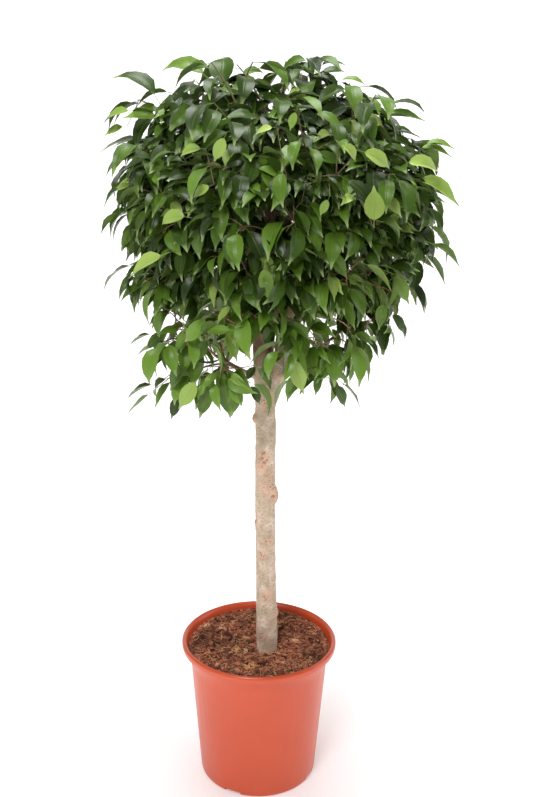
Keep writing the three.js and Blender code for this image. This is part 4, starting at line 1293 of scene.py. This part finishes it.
def twigLeaves(path, draw):
    # leaves on alternate sides of a twig, with a last one at its tip
    length = (path[2] - path[0]).length
    low = lowness(path[2])
    bare = twigs["leafless"] + twigs["lowLeafless"] * low
    leafy = length * (1 - bare)
    number = max(2, round(leafy / twigs["leafSpacing"] / (1 + twigs["lowSpacing"] * low)))
    leaves = []
    for i in range(number + 1):
        last = i == number
        s = 1 if last else bare + (twigs["sidesEnd"] - bare) * (i + twigs["firstGap"]) / number
        at = alongArch(path, s)
        along = headingOf(path, s)
        aside = (draw.uniform(-twigs["tipTurn"], twigs["tipTurn"]) if last
                 else (1 if i % 2 else -1) * draw.uniform(*twigs["sideTurns"]))
        turn = math.atan2(along.y, along.x) + math.radians(aside)
        out = math.atan2(at.y, at.x - crown["middle"])
        pull = twigs["outward"] * (1 - twigs["lowOutward"] * low)
        turn += math.atan2(math.sin(out - turn), math.cos(out - turn)) * pull
        height = (at.z - crown["foot"]) / (crown["roof"] - crown["foot"])
        lift = twigs["lift"] - twigs["liftFall"] * (1 - height) + draw.gauss(0, twigs["liftSpread"])
        bend = min(draw.uniform(*twigs["bends"]), twigs["bendLimit"] + lift)
        share = twigs["youngShare"] * twigs["youngAtTip" if last else "youngBeside"]
        isYoung = draw.random() < share
        leaves.append({
            "at": at, "turn": turn, "kept": False, "lift": math.radians(lift), "bend": bend,
            "length": draw.uniform(*twigs["lengths"]) * (twigs["youngLength"] if isYoung else 1),
            "roll": math.radians(draw.gauss(0, twigs["roll"] + twigs["lowRoll"] * low)),
            "wide": draw.uniform(*twigs["widths"]) - twigs["lowNarrow"] * low,
            "young": draw.uniform(*twigs["youth"]) if isYoung else 0,
        })
    return leaves


def leafFrame(leaf):
    # the leaf's own axes: along its stalk, across it, and away from its face
    level = Vector((math.cos(leaf["turn"]), math.sin(leaf["turn"]), 0))
    along = level * math.cos(leaf["lift"]) + up * math.sin(leaf["lift"])
    face = up * math.cos(leaf["lift"]) - level * math.sin(leaf["lift"])
    face.rotate(Matrix.Rotation(leaf["roll"], 3, along))
    across = face.cross(along)
    size = leaf["length"] / leafShape["length"]
    turn = Matrix((-face, across, along)).transposed().to_4x4()
    return (Matrix.Translation(leaf["at"] * mm) @ turn
            @ Matrix.Diagonal((size, size * leaf.get("wide", 1), size, 1)))


def fitsHead(leaf, form):
    # whether the blade's tip and middle stay inside the head, more or less ragged at the tips
    place = leafFrame(leaf)
    tip, middle = place @ form["tip"] / mm, place @ form["middle"] / mm
    if not inBox(tip) or not inBox(middle):
        return False
    if leaf["kept"] or "accent" in leaf:
        return True
    ragged = twigs["tipPlay"] + twigs["tipRagged"] * noise.noise(tip / twigs["tipClump"])
    return (headDepth(tip) > (ragged if leaf["play"] else twigs["tipDepth"])
            and headDepth(middle) > twigs["middleDepth"])


def inBox(point):
    # the finer leaves stay inside the box of the solids
    low, high = cadBox
    return all(low[i] + mm < point[i] * mm < high[i] - mm for i in range(3))


def taperedStem(path, radius, taper, steps):
    # points and radii along an arch, thinner to the tip
    return [(alongArch(path, i / steps) * mm, radius * (1 - taper * i / steps) * mm)
            for i in range(steps + 1)]


def placeLeaf(leaf, draw):
    # a copy of one of the forms at the leaf's place, or none where it doesn't fit the head
    near = sorted(leafForms, key=lambda form: abs(form["bend"] - leaf["bend"]))
    isSet = leaf["kept"] or "accent" in leaf
    form = near[0] if isSet else draw.choice(near[:twigs["formChoice"]])
    # a random tone, made lighter low in the head as painted light bounced from the floor
    tone = leaf.get("tone", min(1, twigs["toneShare"] * draw.random() + lowness(leaf["at"])))
    leaf["play"] = draw.random() < twigs["raggedShare"]
    for _ in range(twigs["attempts"]):
        if fitsHead(leaf, form):
            break
        leaf["lift"] -= math.radians(twigs["droop"])
        leaf["length"] *= twigs["shrink"]
    else:
        if not leaf["kept"]:
            return None
    mesh = form["piece"].data.copy()
    mesh.transform(leafFrame(leaf))
    layer = mesh.attributes.new("leafLook", "FLOAT_VECTOR", "POINT")
    layer.data.foreach_set("vector", [tone, leaf.get("young", 0), 0] * len(mesh.vertices))
    return newObject("leaf", mesh)


def makeSprays():
    draw = random.Random(twigs["seed"])
    lines = shootLines()
    accents = [accentLeaf(*row) for row in twigs["accents"]]
    accents += [standingLeaf(*row) for row in twigs["standing"]]
    growTwigs(lines, twigPlaces(draw), accents)
    total, faces, twigCount = 0, 0, 0
    for line in lines:
        strands = [taperedStem(
            line["arch"], crown["shootRadius"], crown["shootTaper"], crown["shootSteps"])]
        leaves = solidLeaves(line)
        for path in line["twigs"]:
            thick = twigs["radius"] + twigs["radiusByLength"] * (path[2] - path[0]).length
            strands.append(taperedStem(path, thick, twigs["taper"], twigs["steps"]))
            leaves += twigLeaves(path, draw)
        stems = tubesAlong("stems", strands, 0)
        setMaterials(stems, *leafMaterials)
        for face in stems.data.polygons:
            face.use_smooth = True
            face.material_index = 2
        placed = [placeLeaf(leaf, draw) for leaf in leaves + line["leaves"]]
        pieces = [stems, *(leaf for leaf in placed if leaf)]
        spray = joinPieces("spray" + line["name"][5:], pieces)
        total += len(pieces) - 1
        faces += len(spray.data.polygons)
        twigCount += len(line["twigs"])
        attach(spray, "root")
        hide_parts(line["name"])
    for form in leafForms:
        bpy.data.objects.remove(form["piece"])
    print("sprays:", total, "leaves", twigCount, "twigs", faces, "faces")


makeSprays()

print("box of the solids:", cadBox)
